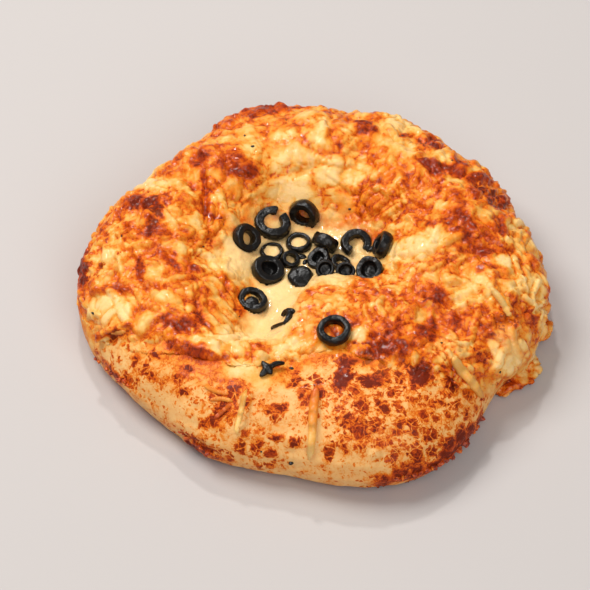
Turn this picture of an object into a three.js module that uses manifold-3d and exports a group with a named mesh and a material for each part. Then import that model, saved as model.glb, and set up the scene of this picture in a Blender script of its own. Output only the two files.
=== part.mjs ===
// A round focaccia: a pillowy loaf with a deep dimple pressed in its middle, a skin of melted grated cheese
// that pools in the dimple and runs over the rim, and slices of black olive that lie in the cheese.
// Millimetres, +Z up. The origin is on the table under the middle of the loaf; +X is to the right and -Y
// is the front, where the bare crust shows below the edge of the cheese.
import * as THREE from "three";
import { mergeVertices } from "three/addons/utils/BufferGeometryUtils.js";
import Module from "manifold-3d";

// ---------------------------------------------------------------- driving dimensions
const LOAF_RADIUS = 91; // mean radius of the loaf seen from above
const CREST_HEIGHT = 34; // top of the puffed ring of bread above the table
const FLOOR_HEIGHT = 10.5; // bread under the cheese in the middle of the dimple
const DIMPLE_CENTRE = new THREE.Vector2(-2, 18); // the dimple lies towards the back of the loaf
const DIMPLE_RADIUS = 30; // out to the middle of its wall

const CHEESE_THICKNESS = 2.2; // over the ring
const CHEESE_LEVEL = 20.5; // the melted cheese fills the dimple up to here
const CHEESE_RIM = 0.9; // where the cheese runs out
const CHEESE_TUCK = 2; // how far its cap is closed inside the loaf before the loaf is cut from it
const CLEARANCE = 0.3; // gap between the solids of touching pieces

const OLIVE_WALL = 0.52; // wall of a slice as a share of its radius
const OLIVE_FACETS = 12;

// The loaf is a grid of rings round the dimple. The rings near its middle have fewer points.
const SECTIONS = 60;
const COVERED_ROWS = 16; // under the cheese
const SIDE_ROWS = 8; // bare crust, down to the base
const BASE_ROWS = 2;
const INNER_SECTIONS = [15, 15, 30, 30];

const DEGREES = Math.PI / 180;

// ---------------------------------------------------------------- small maths
const smoothstep = (low, high, x) => THREE.MathUtils.smoothstep(x, low, high);
const mix = THREE.MathUtils.lerp;
const UP = new THREE.Vector3(0, 0, 1);
const lifted = (point, direction, height) => point.clone().addScaledVector(direction, height);

// A smooth hump of height 1 at an angle, in degrees, that fades out over a half width.
function humpAt(angle, centre, halfWidth) {
  const away = Math.abs(((angle - centre + 540) % 360) - 180);
  return Math.exp(-((away / halfWidth) ** 2));
}

// The sum of a list of humps [direction in degrees, half width, size], in a direction in radians.
function swell(humps, direction) {
  const angle = direction / DEGREES;
  return humps.reduce((sum, [centre, halfWidth, size]) => sum + size * humpAt(angle, centre, halfWidth), 0);
}

// ---------------------------------------------------------------- the loaf's outline, seen from above
// Swells and flats that make the hand-shaped round: [direction in degrees, half width, millimetres].
const OUTLINE_SWELLS = [
  [2, 20, 3.6],
  [64, 10, 5.0],
  [100, 18, 6.2],
  [136, 20, -3.4],
  [172, 22, 4.6],
  [222, 20, -7.0],
  [260, 16, -5.4],
  [296, 20, 5.6],
  [330, 18, -6.8],
];

const outlineRadius = (direction) => LOAF_RADIUS + swell(OUTLINE_SWELLS, direction);

// How far the outline is from the middle of the dimple, in a direction given in radians.
function reachFromDimple(direction) {
  const ray = new THREE.Vector2(Math.cos(direction), Math.sin(direction));
  let near = 0;
  let far = 2 * LOAF_RADIUS;
  for (let step = 0; step < 30; step++) {
    const middle = (near + far) / 2;
    const point = ray.clone().multiplyScalar(middle).add(DIMPLE_CENTRE);
    if (point.length() < outlineRadius(point.angle())) near = middle;
    else far = middle;
  }
  return (near + far) / 2;
}

// ---------------------------------------------------------------- the section
// From the middle of the dimple over the ring, down the side and back under the loaf:
// [share of the reach, share of the crest height above the table]. Row 3 is the dimple's wall, 5 the crest.
const SECTION = [
  [0.0, FLOOR_HEIGHT / CREST_HEIGHT],
  [0.12, 0.34],
  [0.25, 0.5],
  [0.38, 0.75],
  [0.51, 0.92],
  [0.64, 1.0],
  [0.76, 0.97],
  [0.87, 0.86],
  [0.945, 0.68],
  [0.99, 0.46],
  [0.99, 0.24],
  [0.955, 0.07],
  [0.88, 0.0],
  [0.45, 0.0],
  [0.0, 0.0],
];
const WALL_SHARE = SECTION[3][0];
const BASE_ROW = 12;
const LAST_ROW = SECTION.length - 1;
const sectionCurve = new THREE.SplineCurve(SECTION.map(([out, up]) => new THREE.Vector2(out, up)));

// The dimple isn't round: [direction from its middle in degrees, half width, millimetres at its wall].
const WALL_SWELLS = [
  [290, 26, -12], // the pillow in front of the olives crowds it
  [236, 20, 14], // and the channel opens it
  [330, 18, 4],
  [350, 20, 4],
  [60, 24, -3],
  [150, 30, 1],
];

// The ring isn't level: [direction from the dimple in degrees, half width, millimetres at the crest].
const CREST_SWELLS = [
  [20, 30, 1.5],
  [75, 34, 1.0],
  [150, 30, 1.0],
  [215, 26, -2.5],
  [280, 30, 0.5],
];

// Pillows of dough and cheese on the ring: [x, y, radius, height].
const PILLOWS = [
  [14, -18, 22, 0.8], // the broad pillow in front of the olives
  [38, -44, 15, 2.0],
  [47, 8, 17, 4.0], // the pale pillow right of the olives
  [60, 34, 16, 3.0],
  [34, 48, 17, 3.5],
  [2, 66, 17, 2.5],
  [-34, 50, 16, 4.0], // the browned pillow behind the olives, left
  [-48, 22, 16, 3.5],
  [-52, -8, 18, 3.0],
  [-72, 26, 13, 2.0],
  [-66, -38, 17, 2.0],
  [72, -18, 16, 2.5],
  [70, 58, 13, 1.5],
  [-30, 82, 12, 1.8],
  [30, 82, 11, 1.5],
  [20, -78, 20, 1.6],
];

// Creases pressed in the dough: [x0, y0, x1, y1, half width, depth].
const CREASES = [
  [-14, 2, -24, -26, 10, 5.5], // the channel that runs from the dimple to the front left
  [-24, -26, -8, -48, 8, 4.0],
  [-48, 46, -40, 8, 5, 2.6],
  [-44, 8, -36, -20, 5, 2.2],
  [22, -40, 56, -26, 6, 2.2],
  [52, -26, 64, 6, 5, 2.0],
  [20, 62, 16, 40, 5, 1.8],
  [50, 50, 78, 34, 5, 1.8],
];

function distanceToSegment(x, y, [x0, y0, x1, y1]) {
  const along = ((x - x0) * (x1 - x0) + (y - y0) * (y1 - y0)) / ((x1 - x0) ** 2 + (y1 - y0) ** 2);
  const t = THREE.MathUtils.clamp(along, 0, 1);
  return Math.hypot(x - mix(x0, x1, t), y - mix(y0, y1, t));
}

// The lumpy surface that blistered dough and tangled cheese bake to: waves that cross each other, as
// [direction in degrees, length in millimetres, shift in degrees].
const LUMP_WAVES = [
  [12, 21, 40],
  [74, 26, 200],
  [131, 19, 310],
  [163, 31, 90],
];
const DOUGH_LUMPS = 0.5;
const CHEESE_LUMPS = 1.1;

// The waves' mean height at a point of the plan, between -1 and 1.
function lumpsAt(x, y) {
  const heights = LUMP_WAVES.map(([direction, length, shift]) => {
    const along = x * Math.cos(direction * DEGREES) + y * Math.sin(direction * DEGREES);
    return Math.sin(((along / length) * 360 + shift) * DEGREES);
  });
  return heights.reduce((sum, height) => sum + height, 0) / heights.length;
}

// How far the dough stands out at a point of the plain section, along its normal.
function doughRelief({ x, y, z }) {
  let relief = DOUGH_LUMPS * lumpsAt(x, y);
  for (const [px, py, radius, height] of PILLOWS)
    relief += height * Math.exp(-((Math.hypot(x - px, y - py) / radius) ** 3));
  for (const crease of CREASES)
    relief -= crease[5] * Math.exp(-((distanceToSegment(x, y, crease) / crease[4]) ** 2));
  return relief * smoothstep(4, 16, z);
}

// A point of the plain section: direction in radians from the dimple, and a row that may lie between two.
function plainPoint(direction, row) {
  const { x: out, y } = sectionCurve.getPoint(row / LAST_ROW);
  const up = Math.max(0, y);
  const reach = reachFromDimple(direction);
  const wall = DIMPLE_RADIUS + swell(WALL_SWELLS, direction);
  const wallShare = smoothstep(0, WALL_SHARE, out) * (1 - smoothstep(WALL_SHARE, 1, out));
  const distance = reach * out + (wall - WALL_SHARE * reach) * wallShare;
  const crestRise = swell(CREST_SWELLS, direction) * smoothstep(0.2, 0.6, out) * up;
  return new THREE.Vector3(
    DIMPLE_CENTRE.x + distance * Math.cos(direction),
    DIMPLE_CENTRE.y + distance * Math.sin(direction),
    up * CREST_HEIGHT + crestRise,
  );
}

function plainNormal(direction, row) {
  const step = 0.02;
  if (row < step) return new THREE.Vector3(0, 0, 1);
  const ahead = plainPoint(direction, Math.min(row + step, LAST_ROW));
  const alongRow = ahead.sub(plainPoint(direction, row - step));
  const around = plainPoint(direction + step, row).sub(plainPoint(direction - step, row));
  return alongRow.cross(around).normalize();
}

function loafPoint(direction, row) {
  const plain = plainPoint(direction, row);
  return plain.addScaledVector(plainNormal(direction, row), doughRelief(plain));
}

// ---------------------------------------------------------------- where the cheese ends
// The row of the section that the cheese reaches: [direction from the dimple, half width, rows].
const CHEESE_REACH = 8.9;
const CHEESE_EDGE_SWELLS = [
  [280, 30, -3.5], // it stops at the crest in front
  [238, 24, -2.4],
  [332, 14, 2.5], // and runs down to the table on the right
  [190, 14, 0.5],
  [60, 20, -0.5],
];

const cheeseEdgeRow = (direction) => CHEESE_REACH + swell(CHEESE_EDGE_SWELLS, direction);

// Folds of melted cheese, thicker than the rest: [x, y, radius, extra thickness].
const CHEESE_FOLDS = [
  [-6, 52, 13, 1.6],
  [12, 58, 9, 1.2],
  [48, 12, 14, 1.4],
  [52, 56, 9, 1.5],
  [30, -34, 12, 1.4],
  [80, -34, 11, 1.6],
  [-60, 20, 10, 1.2],
  [-56, -22, 11, 1.2],
  [-22, 66, 10, 1.2],
];

// A point of the cheese's upper face, over a point of the loaf. In the dimple it isn't below the level of the
// pool, eased where the pool turns into the skin.
function cheesePoint(point, normal, edgeShare) {
  let thickness = CHEESE_THICKNESS + CHEESE_LUMPS * lumpsAt(point.y, point.x);
  for (const [x, y, radius, extra] of CHEESE_FOLDS)
    thickness += extra * Math.exp(-((Math.hypot(point.x - x, point.y - y) / radius) ** 2));
  thickness = mix(thickness, CHEESE_RIM, smoothstep(0.82, 1, edgeShare));
  const top = lifted(point, normal, CLEARANCE + thickness);
  const inDimple = 1 - smoothstep(0.35, 0.55, edgeShare);
  const pooled = CHEESE_LEVEL + Math.log1p(Math.exp(top.z - CHEESE_LEVEL));
  return top.setZ(mix(top.z, pooled, inDimple));
}

// ---------------------------------------------------------------- solids
const wasm = await Module();
wasm.setup();

// A closed three.js geometry as a manifold-3d solid, and back.
function toSolid(geometry) {
  const bare = geometry.clone();
  bare.deleteAttribute("normal");
  bare.deleteAttribute("uv");
  const merged = mergeVertices(bare, 1e-4);
  return new wasm.Manifold(
    new wasm.Mesh({
      numProp: 3,
      vertProperties: new Float32Array(merged.attributes.position.array),
      triVerts: new Uint32Array(merged.index.array),
    }),
  );
}

function toGeometry(solid) {
  const mesh = solid.getMesh();
  const geometry = new THREE.BufferGeometry();
  geometry.setAttribute("position", new THREE.BufferAttribute(mesh.vertProperties, 3));
  geometry.setIndex(new THREE.BufferAttribute(mesh.triVerts, 1));
  geometry.computeVertexNormals();
  return geometry;
}

// A closed skin over rings of points: a first point, rings that may differ in their number of points, and a
// last point. Between two like rings each facet is split along its shorter diagonal on the guide's rings;
// between two unlike ones, each step goes to the ring that lags behind.
function skinOver(first, rings, last, guide = rings) {
  const points = [first, ...rings.flat(), last];
  const faces = [];
  let start = 1;
  for (let section = 0; section < rings[0].length; section++)
    faces.push(0, start + section, start + ((section + 1) % rings[0].length));
  for (let ring = 0; ring + 1 < rings.length; ring++) {
    const inner = rings[ring].length;
    const outer = rings[ring + 1].length;
    const innerAt = (i) => start + (i % inner);
    const outerAt = (i) => start + inner + (i % outer);
    if (inner === outer) {
      for (let i = 0; i < inner; i++) {
        const next = (i + 1) % inner;
        const rising = guide[ring][i].distanceTo(guide[ring + 1][next]);
        const falling = guide[ring][next].distanceTo(guide[ring + 1][i]);
        const cornerBefore = rising < falling ? outerAt(next) : innerAt(next);
        const cornerAfter = rising < falling ? innerAt(i) : outerAt(i);
        faces.push(innerAt(i), outerAt(i), cornerBefore);
        faces.push(cornerAfter, outerAt(next), innerAt(next));
      }
      start += inner;
      continue;
    }
    for (let i = 0, o = 0; i < inner || o < outer; ) {
      if (o < outer && (o + 0.5) / outer <= (i + 0.5) / inner) {
        faces.push(innerAt(i), outerAt(o), outerAt(o + 1));
        o++;
      } else {
        faces.push(innerAt(i), outerAt(o), innerAt(i + 1));
        i++;
      }
    }
    start += inner;
  }
  const rim = rings[rings.length - 1].length;
  for (let section = 0; section < rim; section++)
    faces.push(points.length - 1, start + ((section + 1) % rim), start + section);
  const geometry = new THREE.BufferGeometry().setFromPoints(points);
  geometry.setIndex(faces);
  return geometry;
}

// The directions of a ring's points, for each is a function of direction.
const ringOf = (sections, pointAt) =>
  Array.from({ length: sections }, (_, section) => pointAt((section / sections) * 360 * DEGREES));

// The grid under the cheese: its last row is the edge of the cheese, so the two skins match facet for facet.
const coveredRows = Array.from({ length: COVERED_ROWS }, (_, row) => {
  const share = (row + 1) / COVERED_ROWS;
  const sections = INNER_SECTIONS[row] ?? SECTIONS;
  return {
    share,
    points: ringOf(sections, (direction) => loafPoint(direction, share * cheeseEdgeRow(direction))),
    normals: ringOf(sections, (direction) => plainNormal(direction, share * cheeseEdgeRow(direction))),
  };
});

// The rings of the loaf, each point stood off the plain loaf by a gap.
function loafRings(gap) {
  const covered = coveredRows.map(({ points, normals }) =>
    points.map((point, section) => lifted(point, normals[section], gap)),
  );
  const side = Array.from({ length: SIDE_ROWS }, (_, index) =>
    ringOf(SECTIONS, (direction) => {
      const row = mix(cheeseEdgeRow(direction), BASE_ROW, (index + 1) / SIDE_ROWS);
      return lifted(loafPoint(direction, row), plainNormal(direction, row), gap);
    }),
  );
  const base = Array.from({ length: BASE_ROWS - 1 }, (_, index) =>
    ringOf(SECTIONS / 2, (direction) =>
      lifted(plainPoint(direction, mix(BASE_ROW, LAST_ROW, (index + 1) / BASE_ROWS)), UP, -gap),
    ),
  );
  return [...covered, ...side, ...base];
}

// The loaf, or what stands clear of it by a gap.
function makeLoaf(gap = 0) {
  const top = lifted(loafPoint(0, 0), UP, gap);
  const underside = lifted(plainPoint(0, LAST_ROW), UP, -gap);
  return skinOver(top, loafRings(gap), underside, loafRings(0));
}

// The cheese with what is under it: its upper face, closed inside the loaf.
function makeCheeseCap() {
  const middle = loafPoint(0, 0);
  const top = coveredRows.map(({ share, points, normals }) =>
    points.map((point, section) => cheesePoint(point, normals[section], share)),
  );
  const { points: edge, normals: edgeNormals } = coveredRows[COVERED_ROWS - 1];
  const tucked = edge.map((point, section) => lifted(point, edgeNormals[section], -CHEESE_TUCK));
  return skinOver(
    cheesePoint(middle, UP, 0),
    [...top, tucked],
    lifted(middle, UP, -FLOOR_HEIGHT / 2),
  );
}

// ---------------------------------------------------------------- shreds and flaps of cheese
// Where a point of the plan lies on the topmost of some meshes, and which way it faces there.
function dropOn(meshes, x, y) {
  const ray = new THREE.Raycaster(new THREE.Vector3(x, y, 2 * CREST_HEIGHT), new THREE.Vector3(0, 0, -1));
  const [hit] = ray.intersectObjects(meshes);
  return { point: hit.point, normal: hit.face.normal };
}

// Shreds that kept their form, each fused to what it lies on, as lines of plan points [x, y].
const CRUST_SHREDS = [
  [[1, -66], [0, -73], [-1, -79], [-1.5, -83]],
  [[-25.5, -62], [-27, -69], [-29, -74.5]],
];
const CHEESE_SHREDS = [
  [[44, -43], [50, -51], [55, -57.5]],
  [[-71, -27.5], [-79, -26], [-86, -24.5]],
  [[70, -12], [76, -20], [80, -27]],
];
const SHRED_RADIUS = 1.6;
const SHRED_SINK = 0.7; // how deep a shred's lower face lies in what is under it

function makeShred(line, under) {
  const spine = line.map(([x, y]) => {
    const { point, normal } = dropOn(under, x, y);
    return point.addScaledVector(normal, SHRED_RADIUS * 0.8 - SHRED_SINK);
  });
  const roundSection = new THREE.Shape();
  roundSection.absellipse(0, 0, SHRED_RADIUS, SHRED_RADIUS * 0.8, 0, 2 * Math.PI);
  return new THREE.ExtrudeGeometry(roundSection, {
    curveSegments: 4,
    steps: 6,
    extrudePath: new THREE.CatmullRomCurve3(spine),
  });
}

// Flaps where the cheese ran down the side and set: { at: [x, y, z], radius, stretch along the edge, turn in
// degrees, thickness }. The lower ones set on the baking tray.
const FLAPS = [
  { at: [81.8, -26.5, 2.5], radius: 7.6, stretch: 1.5, turn: 70, thickness: 3.8 },
  { at: [75.4, -35.8, 1.8], radius: 4.2, stretch: 1.5, turn: 30, thickness: 2.8 },
  { at: [88.4, -7, 5.6], radius: 7, stretch: 1.25, turn: 84, thickness: 5.5 },
];

function makeFlap({ at, radius, stretch, turn, thickness }) {
  const geometry = new THREE.SphereGeometry(1, 16, 8);
  geometry.scale(radius * stretch, radius, thickness / 2);
  geometry.rotateZ(turn * DEGREES);
  geometry.translate(...at);
  return geometry;
}

// ---------------------------------------------------------------- olive slices
// Each is { at: [x, y] in plan, lift of its middle above the cheese, radius, height, lean of its axis from
// upright and the direction that it leans to, in degrees, and what is special to it }.
const OLIVES = [
  { at: [-27, 21.5], lift: 1.6, radius: 6.2, height: 3.8, lean: 48, towards: -36 },
  { at: [-16.5, 32], lift: 2.4, radius: 7.6, height: 4.2, lean: 12, towards: -60, gap: [58, 34] },
  { at: [-3.8, 37], lift: 2.4, radius: 6.2, height: 4.6, lean: 74, towards: -110 },
  { at: [-6, 24.2], lift: 0.2, radius: 5.4, height: 2.6, lean: 8, towards: 120, wall: 0.32 },
  { at: [-16.8, 19.8], lift: 0, radius: 5.0, height: 2.2, lean: 6, towards: 90, wall: 0.28 },
  { at: [-9.4, 15], lift: 0.9, radius: 3.9, height: 3.0, lean: 24, towards: -40, wall: 0.42 },
  { at: [-18.5, 8.8], lift: 1.4, radius: 6.7, height: 5.0, lean: 22, towards: -30, cup: true },
  { at: [-24.4, -7.6], lift: 1.5, radius: 6.2, height: 3.6, lean: 8, towards: -40, wall: 0.46, plug: true },
  { at: [-5.2, 6.2], lift: 0.4, radius: 5.2, height: 3.2, lean: 14, towards: -80, cap: true },
  { at: [4.4, 22.3], lift: 3.0, radius: 5.6, height: 4.4, lean: 66, towards: 58 },
  { at: [2, 15.4], lift: 0.8, radius: 4.9, height: 3.6, lean: 20, towards: 215, cup: true },
  { at: [4.4, 3.8], lift: 1.6, radius: 3.9, height: 3.0, lean: 28, towards: -95, wall: 0.3, cup: true },
  { at: [12.4, 4.2], lift: 1.8, radius: 3.9, height: 3.0, lean: 30, towards: -85, wall: 0.3, cup: true },
  { at: [10.5, 13.6], lift: 0.3, radius: 4.0, height: 2.8, lean: 12, towards: 20 },
  { at: [17, 22.3], lift: 1.6, radius: 6.5, height: 4.0, lean: 16, towards: -75, gap: [-82, 84] },
  { at: [27.2, 16.5], lift: 2.0, radius: 5.8, height: 3.8, lean: 62, towards: 170 },
  { at: [22, 4], lift: 2.0, radius: 5.8, height: 3.8, lean: 24, towards: -110, wall: 0.44, cup: true },
  { at: [7.8, -35.8], lift: 1.2, radius: 7.1, height: 3.4, lean: 6, towards: -60, wall: 0.42 },
];

// Half of a slice's section, in [distance from the axis, height]: a barrel of skin, two cut faces and the
// wall of the stone's hole. A cap is the closed end of an olive instead, and a cup is such an end with the
// hole open above.
function oliveProfile({ radius, height, wall = OLIVE_WALL, cap = false, cup = false }) {
  const half = height / 2;
  if (cap) {
    return [
      [0, -half],
      [radius * 0.86, -half],
      [radius, 0],
      [radius * 0.78, half * 0.8],
      [0, half],
    ];
  }
  const hole = radius * (1 - wall);
  if (cup) {
    return [
      [0, -half],
      [radius * 0.86, -half],
      [radius, 0],
      [radius * 0.9, half],
      [hole + radius * 0.06, half],
      [hole, 0],
      [hole * 0.7, -half * 0.5],
      [0, -half * 0.35],
    ];
  }
  return [
    [hole, 0],
    [hole + radius * 0.06, -half],
    [radius * 0.9, -half],
    [radius, 0],
    [radius * 0.9, half],
    [hole + radius * 0.06, half],
    [hole, 0],
  ];
}

// The straight-sided pocket that a slice lies in, with clearance all round.
function pocketProfile({ radius, height, wall = OLIVE_WALL, cap = false, cup = false }) {
  const half = height / 2 + CLEARANCE;
  const outside = radius + CLEARANCE;
  const hole = radius * (1 - wall) - CLEARANCE;
  if (cap || cup || hole < 1) {
    return [
      [0, -half],
      [outside, -half],
      [outside, half],
      [0, half],
    ];
  }
  return [
    [hole, -half],
    [outside, -half],
    [outside, half],
    [hole, half],
    [hole, -half],
  ];
}

// The curled end of an olive that is stuck in the hole of a slice, or what stands clear of it by a gap.
const PLUG_PLACE = [-0.2, -1.0];
const PLUG_RADIUS = 2.9;
const PLUG_HALF_HEIGHT = 1.5;

function plugSolid(gap) {
  const geometry = new THREE.SphereGeometry(1, OLIVE_FACETS, 5);
  geometry.rotateX(90 * DEGREES);
  geometry.scale(PLUG_RADIUS + gap, PLUG_RADIUS + gap, PLUG_HALF_HEIGHT + gap);
  geometry.translate(...PLUG_PLACE, 0);
  return toSolid(geometry);
}

// A slice, or the pocket that it lies in: the section turned about the slice's axis, a little out of round,
// without the piece that its gap leaves out.
function oliveSolid(olive, number, isPocket = false) {
  const section = isPocket ? pocketProfile(olive) : oliveProfile(olive);
  const profile = section.map(([out, up]) => new THREE.Vector2(out, up));
  const geometry = new THREE.LatheGeometry(profile, OLIVE_FACETS);
  geometry.rotateX(90 * DEGREES);
  const position = geometry.attributes.position;
  const point = new THREE.Vector3();
  for (let i = 0; i < position.count; i++) {
    point.fromBufferAttribute(position, i);
    const around = Math.atan2(point.y, point.x);
    const uneven = 1 + 0.035 * Math.cos(2 * around + number) + 0.02 * Math.cos(3 * around + 2 * number);
    const buckle = 0.3 * Math.cos(2 * around + 3 * number);
    position.setXYZ(i, point.x * uneven, point.y * uneven, point.z + buckle);
  }
  let solid = toSolid(geometry);
  if (olive.gap) solid = solid.subtract(gapWedge(olive));
  if (olive.plug) solid = solid.add(plugSolid(isPocket ? CLEARANCE : 0));
  return solid;
}

// The wedge that a broken slice lacks: [direction of its middle, whole width], both in degrees.
function gapWedge({ radius, gap: [direction, width] }) {
  const reach = radius * 2;
  const halfWidth = (width / 2) * DEGREES;
  const wedge = new THREE.Shape([
    new THREE.Vector2(0, 0),
    new THREE.Vector2(reach, -reach * Math.tan(halfWidth)),
    new THREE.Vector2(reach, reach * Math.tan(halfWidth)),
  ]);
  const geometry = new THREE.ExtrudeGeometry(wedge, { depth: 2 * reach, bevelEnabled: false });
  geometry.translate(0, 0, -reach);
  geometry.rotateZ(direction * DEGREES);
  return toSolid(geometry);
}

// Where a slice lies: its middle above the cheese under it, with its axis leaning.
function olivePlace({ at: [x, y], lift, lean, towards }, under) {
  const { point } = dropOn(under, x, y);
  const axis = new THREE.Vector3(
    Math.sin(lean * DEGREES) * Math.cos(towards * DEGREES),
    Math.sin(lean * DEGREES) * Math.sin(towards * DEGREES),
    Math.cos(lean * DEGREES),
  );
  const turn = new THREE.Quaternion().setFromUnitVectors(new THREE.Vector3(0, 0, 1), axis);
  return new THREE.Matrix4().compose(
    point.setZ(point.z + lift),
    turn,
    new THREE.Vector3(1, 1, 1),
  );
}

// Torn bits of olive, each made of limbs. A limb runs through [x, y, height above the cheese, radius].
const OLIVE_BITS = [
  {
    name: "olive_bit_hook",
    limbs: [
      [[-12.6, -20.6, 1.6, 0.7], [-10.6, -20.6, 1.1, 1.2], [-8.3, -22.2, 0.9, 1.3]],
      [[-10.0, -21.2, 1.0, 1.3], [-9.9, -25.2, 0.9, 1.1], [-11.8, -27.4, 0.8, 0.65]],
      [[-11.8, -27.4, 0.8, 0.65], [-15.6, -25.0, 0.9, 0.5], [-16.6, -24.0, 0.7, 0.8]],
    ],
  },
  {
    name: "olive_bit_twist",
    limbs: [
      [[-20.2, -50.1, 0.9, 0.8], [-18.4, -52.0, 1.3, 1.9], [-16.8, -54.1, 0.9, 0.9]],
      [[-18.3, -52.3, 1.2, 1.6], [-20.9, -55.4, 0.9, 0.9]],
      [[-18.1, -52.0, 1.3, 1.3], [-15.0, -50.1, 1.2, 0.7], [-12.2, -49.0, 1.0, 1.1]],
    ],
  },
];
const LIMB_SIDES = 6;
const LIMB_STEPS = 2; // between two named points

// A round limb with blunt ends, or what stands clear of it by a gap.
function limbSolid(limb, under, gap) {
  const spine = limb.map(([x, y, height]) => {
    const { point } = dropOn(under, x, y);
    return point.setZ(point.z + height);
  });
  const curve = new THREE.CatmullRomCurve3(spine);
  const steps = LIMB_STEPS * (limb.length - 1);
  const { tangents, normals, binormals } = curve.computeFrenetFrames(steps);
  const radiusAt = (step) => {
    const before = Math.min(Math.floor(step / LIMB_STEPS), limb.length - 2);
    return mix(limb[before][3], limb[before + 1][3], step / LIMB_STEPS - before) + gap;
  };
  const rings = tangents.map((_, step) => {
    const middle = curve.getPoint(step / steps);
    const radius = radiusAt(step) * (step === 0 || step === steps ? 0.75 : 1);
    return ringOf(LIMB_SIDES, (around) =>
      lifted(
        lifted(middle, normals[step], radius * Math.cos(around)),
        binormals[step],
        -radius * Math.sin(around),
      ),
    );
  });
  const first = lifted(spine[0], tangents[0], -0.7 * radiusAt(0));
  const last = lifted(spine[spine.length - 1], tangents[steps], 0.7 * radiusAt(steps));
  return toSolid(skinOver(first, rings, last));
}

function bitSolid({ limbs }, under, gap = 0) {
  const [first, ...others] = limbs.map((limb) => limbSolid(limb, under, gap));
  return others.reduce((bit, limb) => bit.add(limb), first);
}

// ---------------------------------------------------------------- materials
const material = (color, roughness) => new THREE.MeshStandardMaterial({ color, roughness, metalness: 0 });
const crustMaterial = material(0xe2a75f, 0.75);
const cheeseMaterial = material(0xf0b45c, 0.4);
const oliveMaterial = material(0x17140f, 0.35);

// ---------------------------------------------------------------- assembly
const focaccia = new THREE.Group();

function addPiece(name, geometry, finish) {
  const mesh = new THREE.Mesh(geometry, finish);
  mesh.name = name;
  focaccia.add(mesh);
}

// A mesh of a whole form, to find where things lie on it.
function surfaceOf(geometry) {
  const mesh = new THREE.Mesh(geometry, new THREE.MeshStandardMaterial({ side: THREE.DoubleSide }));
  mesh.updateMatrixWorld();
  return mesh;
}

const upperFace = [makeLoaf(), makeCheeseCap()].map(surfaceOf);

let [loaf, cheese] = upperFace.map(({ geometry }) => toSolid(geometry));
for (const line of CRUST_SHREDS) loaf = loaf.add(toSolid(makeShred(line, upperFace)));
for (const line of CHEESE_SHREDS) cheese = cheese.add(toSolid(makeShred(line, upperFace)));
for (const flap of FLAPS) cheese = cheese.add(toSolid(makeFlap(flap)));
cheese = cheese.subtract(toSolid(makeLoaf(CLEARANCE)));

// The slices and bits are pressed into the cheese, a few of them down into the bread.
OLIVES.forEach((olive, index) => {
  const place = olivePlace(olive, upperFace).toArray();
  const pocket = oliveSolid(olive, index, true).transform(place);
  cheese = cheese.subtract(pocket);
  loaf = loaf.subtract(pocket);
  const name = `olive_${String(index + 1).padStart(2, "0")}`;
  addPiece(name, toGeometry(oliveSolid(olive, index).transform(place)), oliveMaterial);
});
for (const bit of OLIVE_BITS) {
  const pocket = bitSolid(bit, upperFace, CLEARANCE);
  cheese = cheese.subtract(pocket);
  loaf = loaf.subtract(pocket);
  addPiece(bit.name, toGeometry(bitSolid(bit, upperFace)), oliveMaterial);
}
addPiece("bread", toGeometry(loaf), crustMaterial);
addPiece("cheese", toGeometry(cheese), cheeseMaterial);

// The box round the whole is centred on the origin.
const middle = new THREE.Box3().setFromObject(focaccia).getCenter(new THREE.Vector3());
for (const piece of focaccia.children) piece.geometry.translate(-middle.x, -middle.y, 0);

export default focaccia;
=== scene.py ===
# %% [markdown]
# # An olive and cheese focaccia
#
# A flat round loaf with a pressed-in middle. Grated cheese is baked over it, sliced black olives lie in the
# dip, and the front of the crust is left bare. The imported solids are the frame: every piece here is shaped
# on them, in the same place, and stands for them in the picture.

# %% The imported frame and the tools
import math
import random

import bmesh
import bpy
import numpy as np
from mathutils import Matrix, Vector, noise
from mathutils.bvhtree import BVHTree


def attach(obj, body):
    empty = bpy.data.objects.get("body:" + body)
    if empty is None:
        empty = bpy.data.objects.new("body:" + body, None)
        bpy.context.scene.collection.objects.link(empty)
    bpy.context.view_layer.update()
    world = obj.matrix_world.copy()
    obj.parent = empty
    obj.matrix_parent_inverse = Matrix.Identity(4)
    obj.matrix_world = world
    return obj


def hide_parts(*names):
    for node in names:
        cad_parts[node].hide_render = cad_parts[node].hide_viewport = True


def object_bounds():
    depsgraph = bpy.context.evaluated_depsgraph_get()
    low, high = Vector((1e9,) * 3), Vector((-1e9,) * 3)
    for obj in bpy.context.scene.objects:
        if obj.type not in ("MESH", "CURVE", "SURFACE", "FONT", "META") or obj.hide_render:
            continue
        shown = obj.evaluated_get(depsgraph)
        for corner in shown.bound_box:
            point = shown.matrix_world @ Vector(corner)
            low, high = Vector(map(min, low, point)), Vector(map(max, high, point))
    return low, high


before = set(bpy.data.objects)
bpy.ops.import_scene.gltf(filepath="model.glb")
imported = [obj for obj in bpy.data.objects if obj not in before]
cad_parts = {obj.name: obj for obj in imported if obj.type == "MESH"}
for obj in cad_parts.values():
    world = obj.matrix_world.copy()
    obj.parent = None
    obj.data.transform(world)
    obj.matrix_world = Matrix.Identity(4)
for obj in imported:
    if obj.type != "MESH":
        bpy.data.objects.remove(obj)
cad_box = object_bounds()
MM = 0.001
OLIVE_NODES = sorted(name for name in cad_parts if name.startswith("olive"))
print("solids:", len(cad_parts), "of them olives:", len(OLIVE_NODES))

# %% [markdown]
# ## The camera
#
# The photograph looks down on the loaf at about 49.5 degrees, from so far that nothing narrows with
# distance. A long lens three metres away gives the same. The camera comes first, because the marks of the
# baking are placed by where they show in the photograph: a line from the camera through a pixel meets the
# loaf at one spot, and the mark goes there, on the surface.

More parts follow.
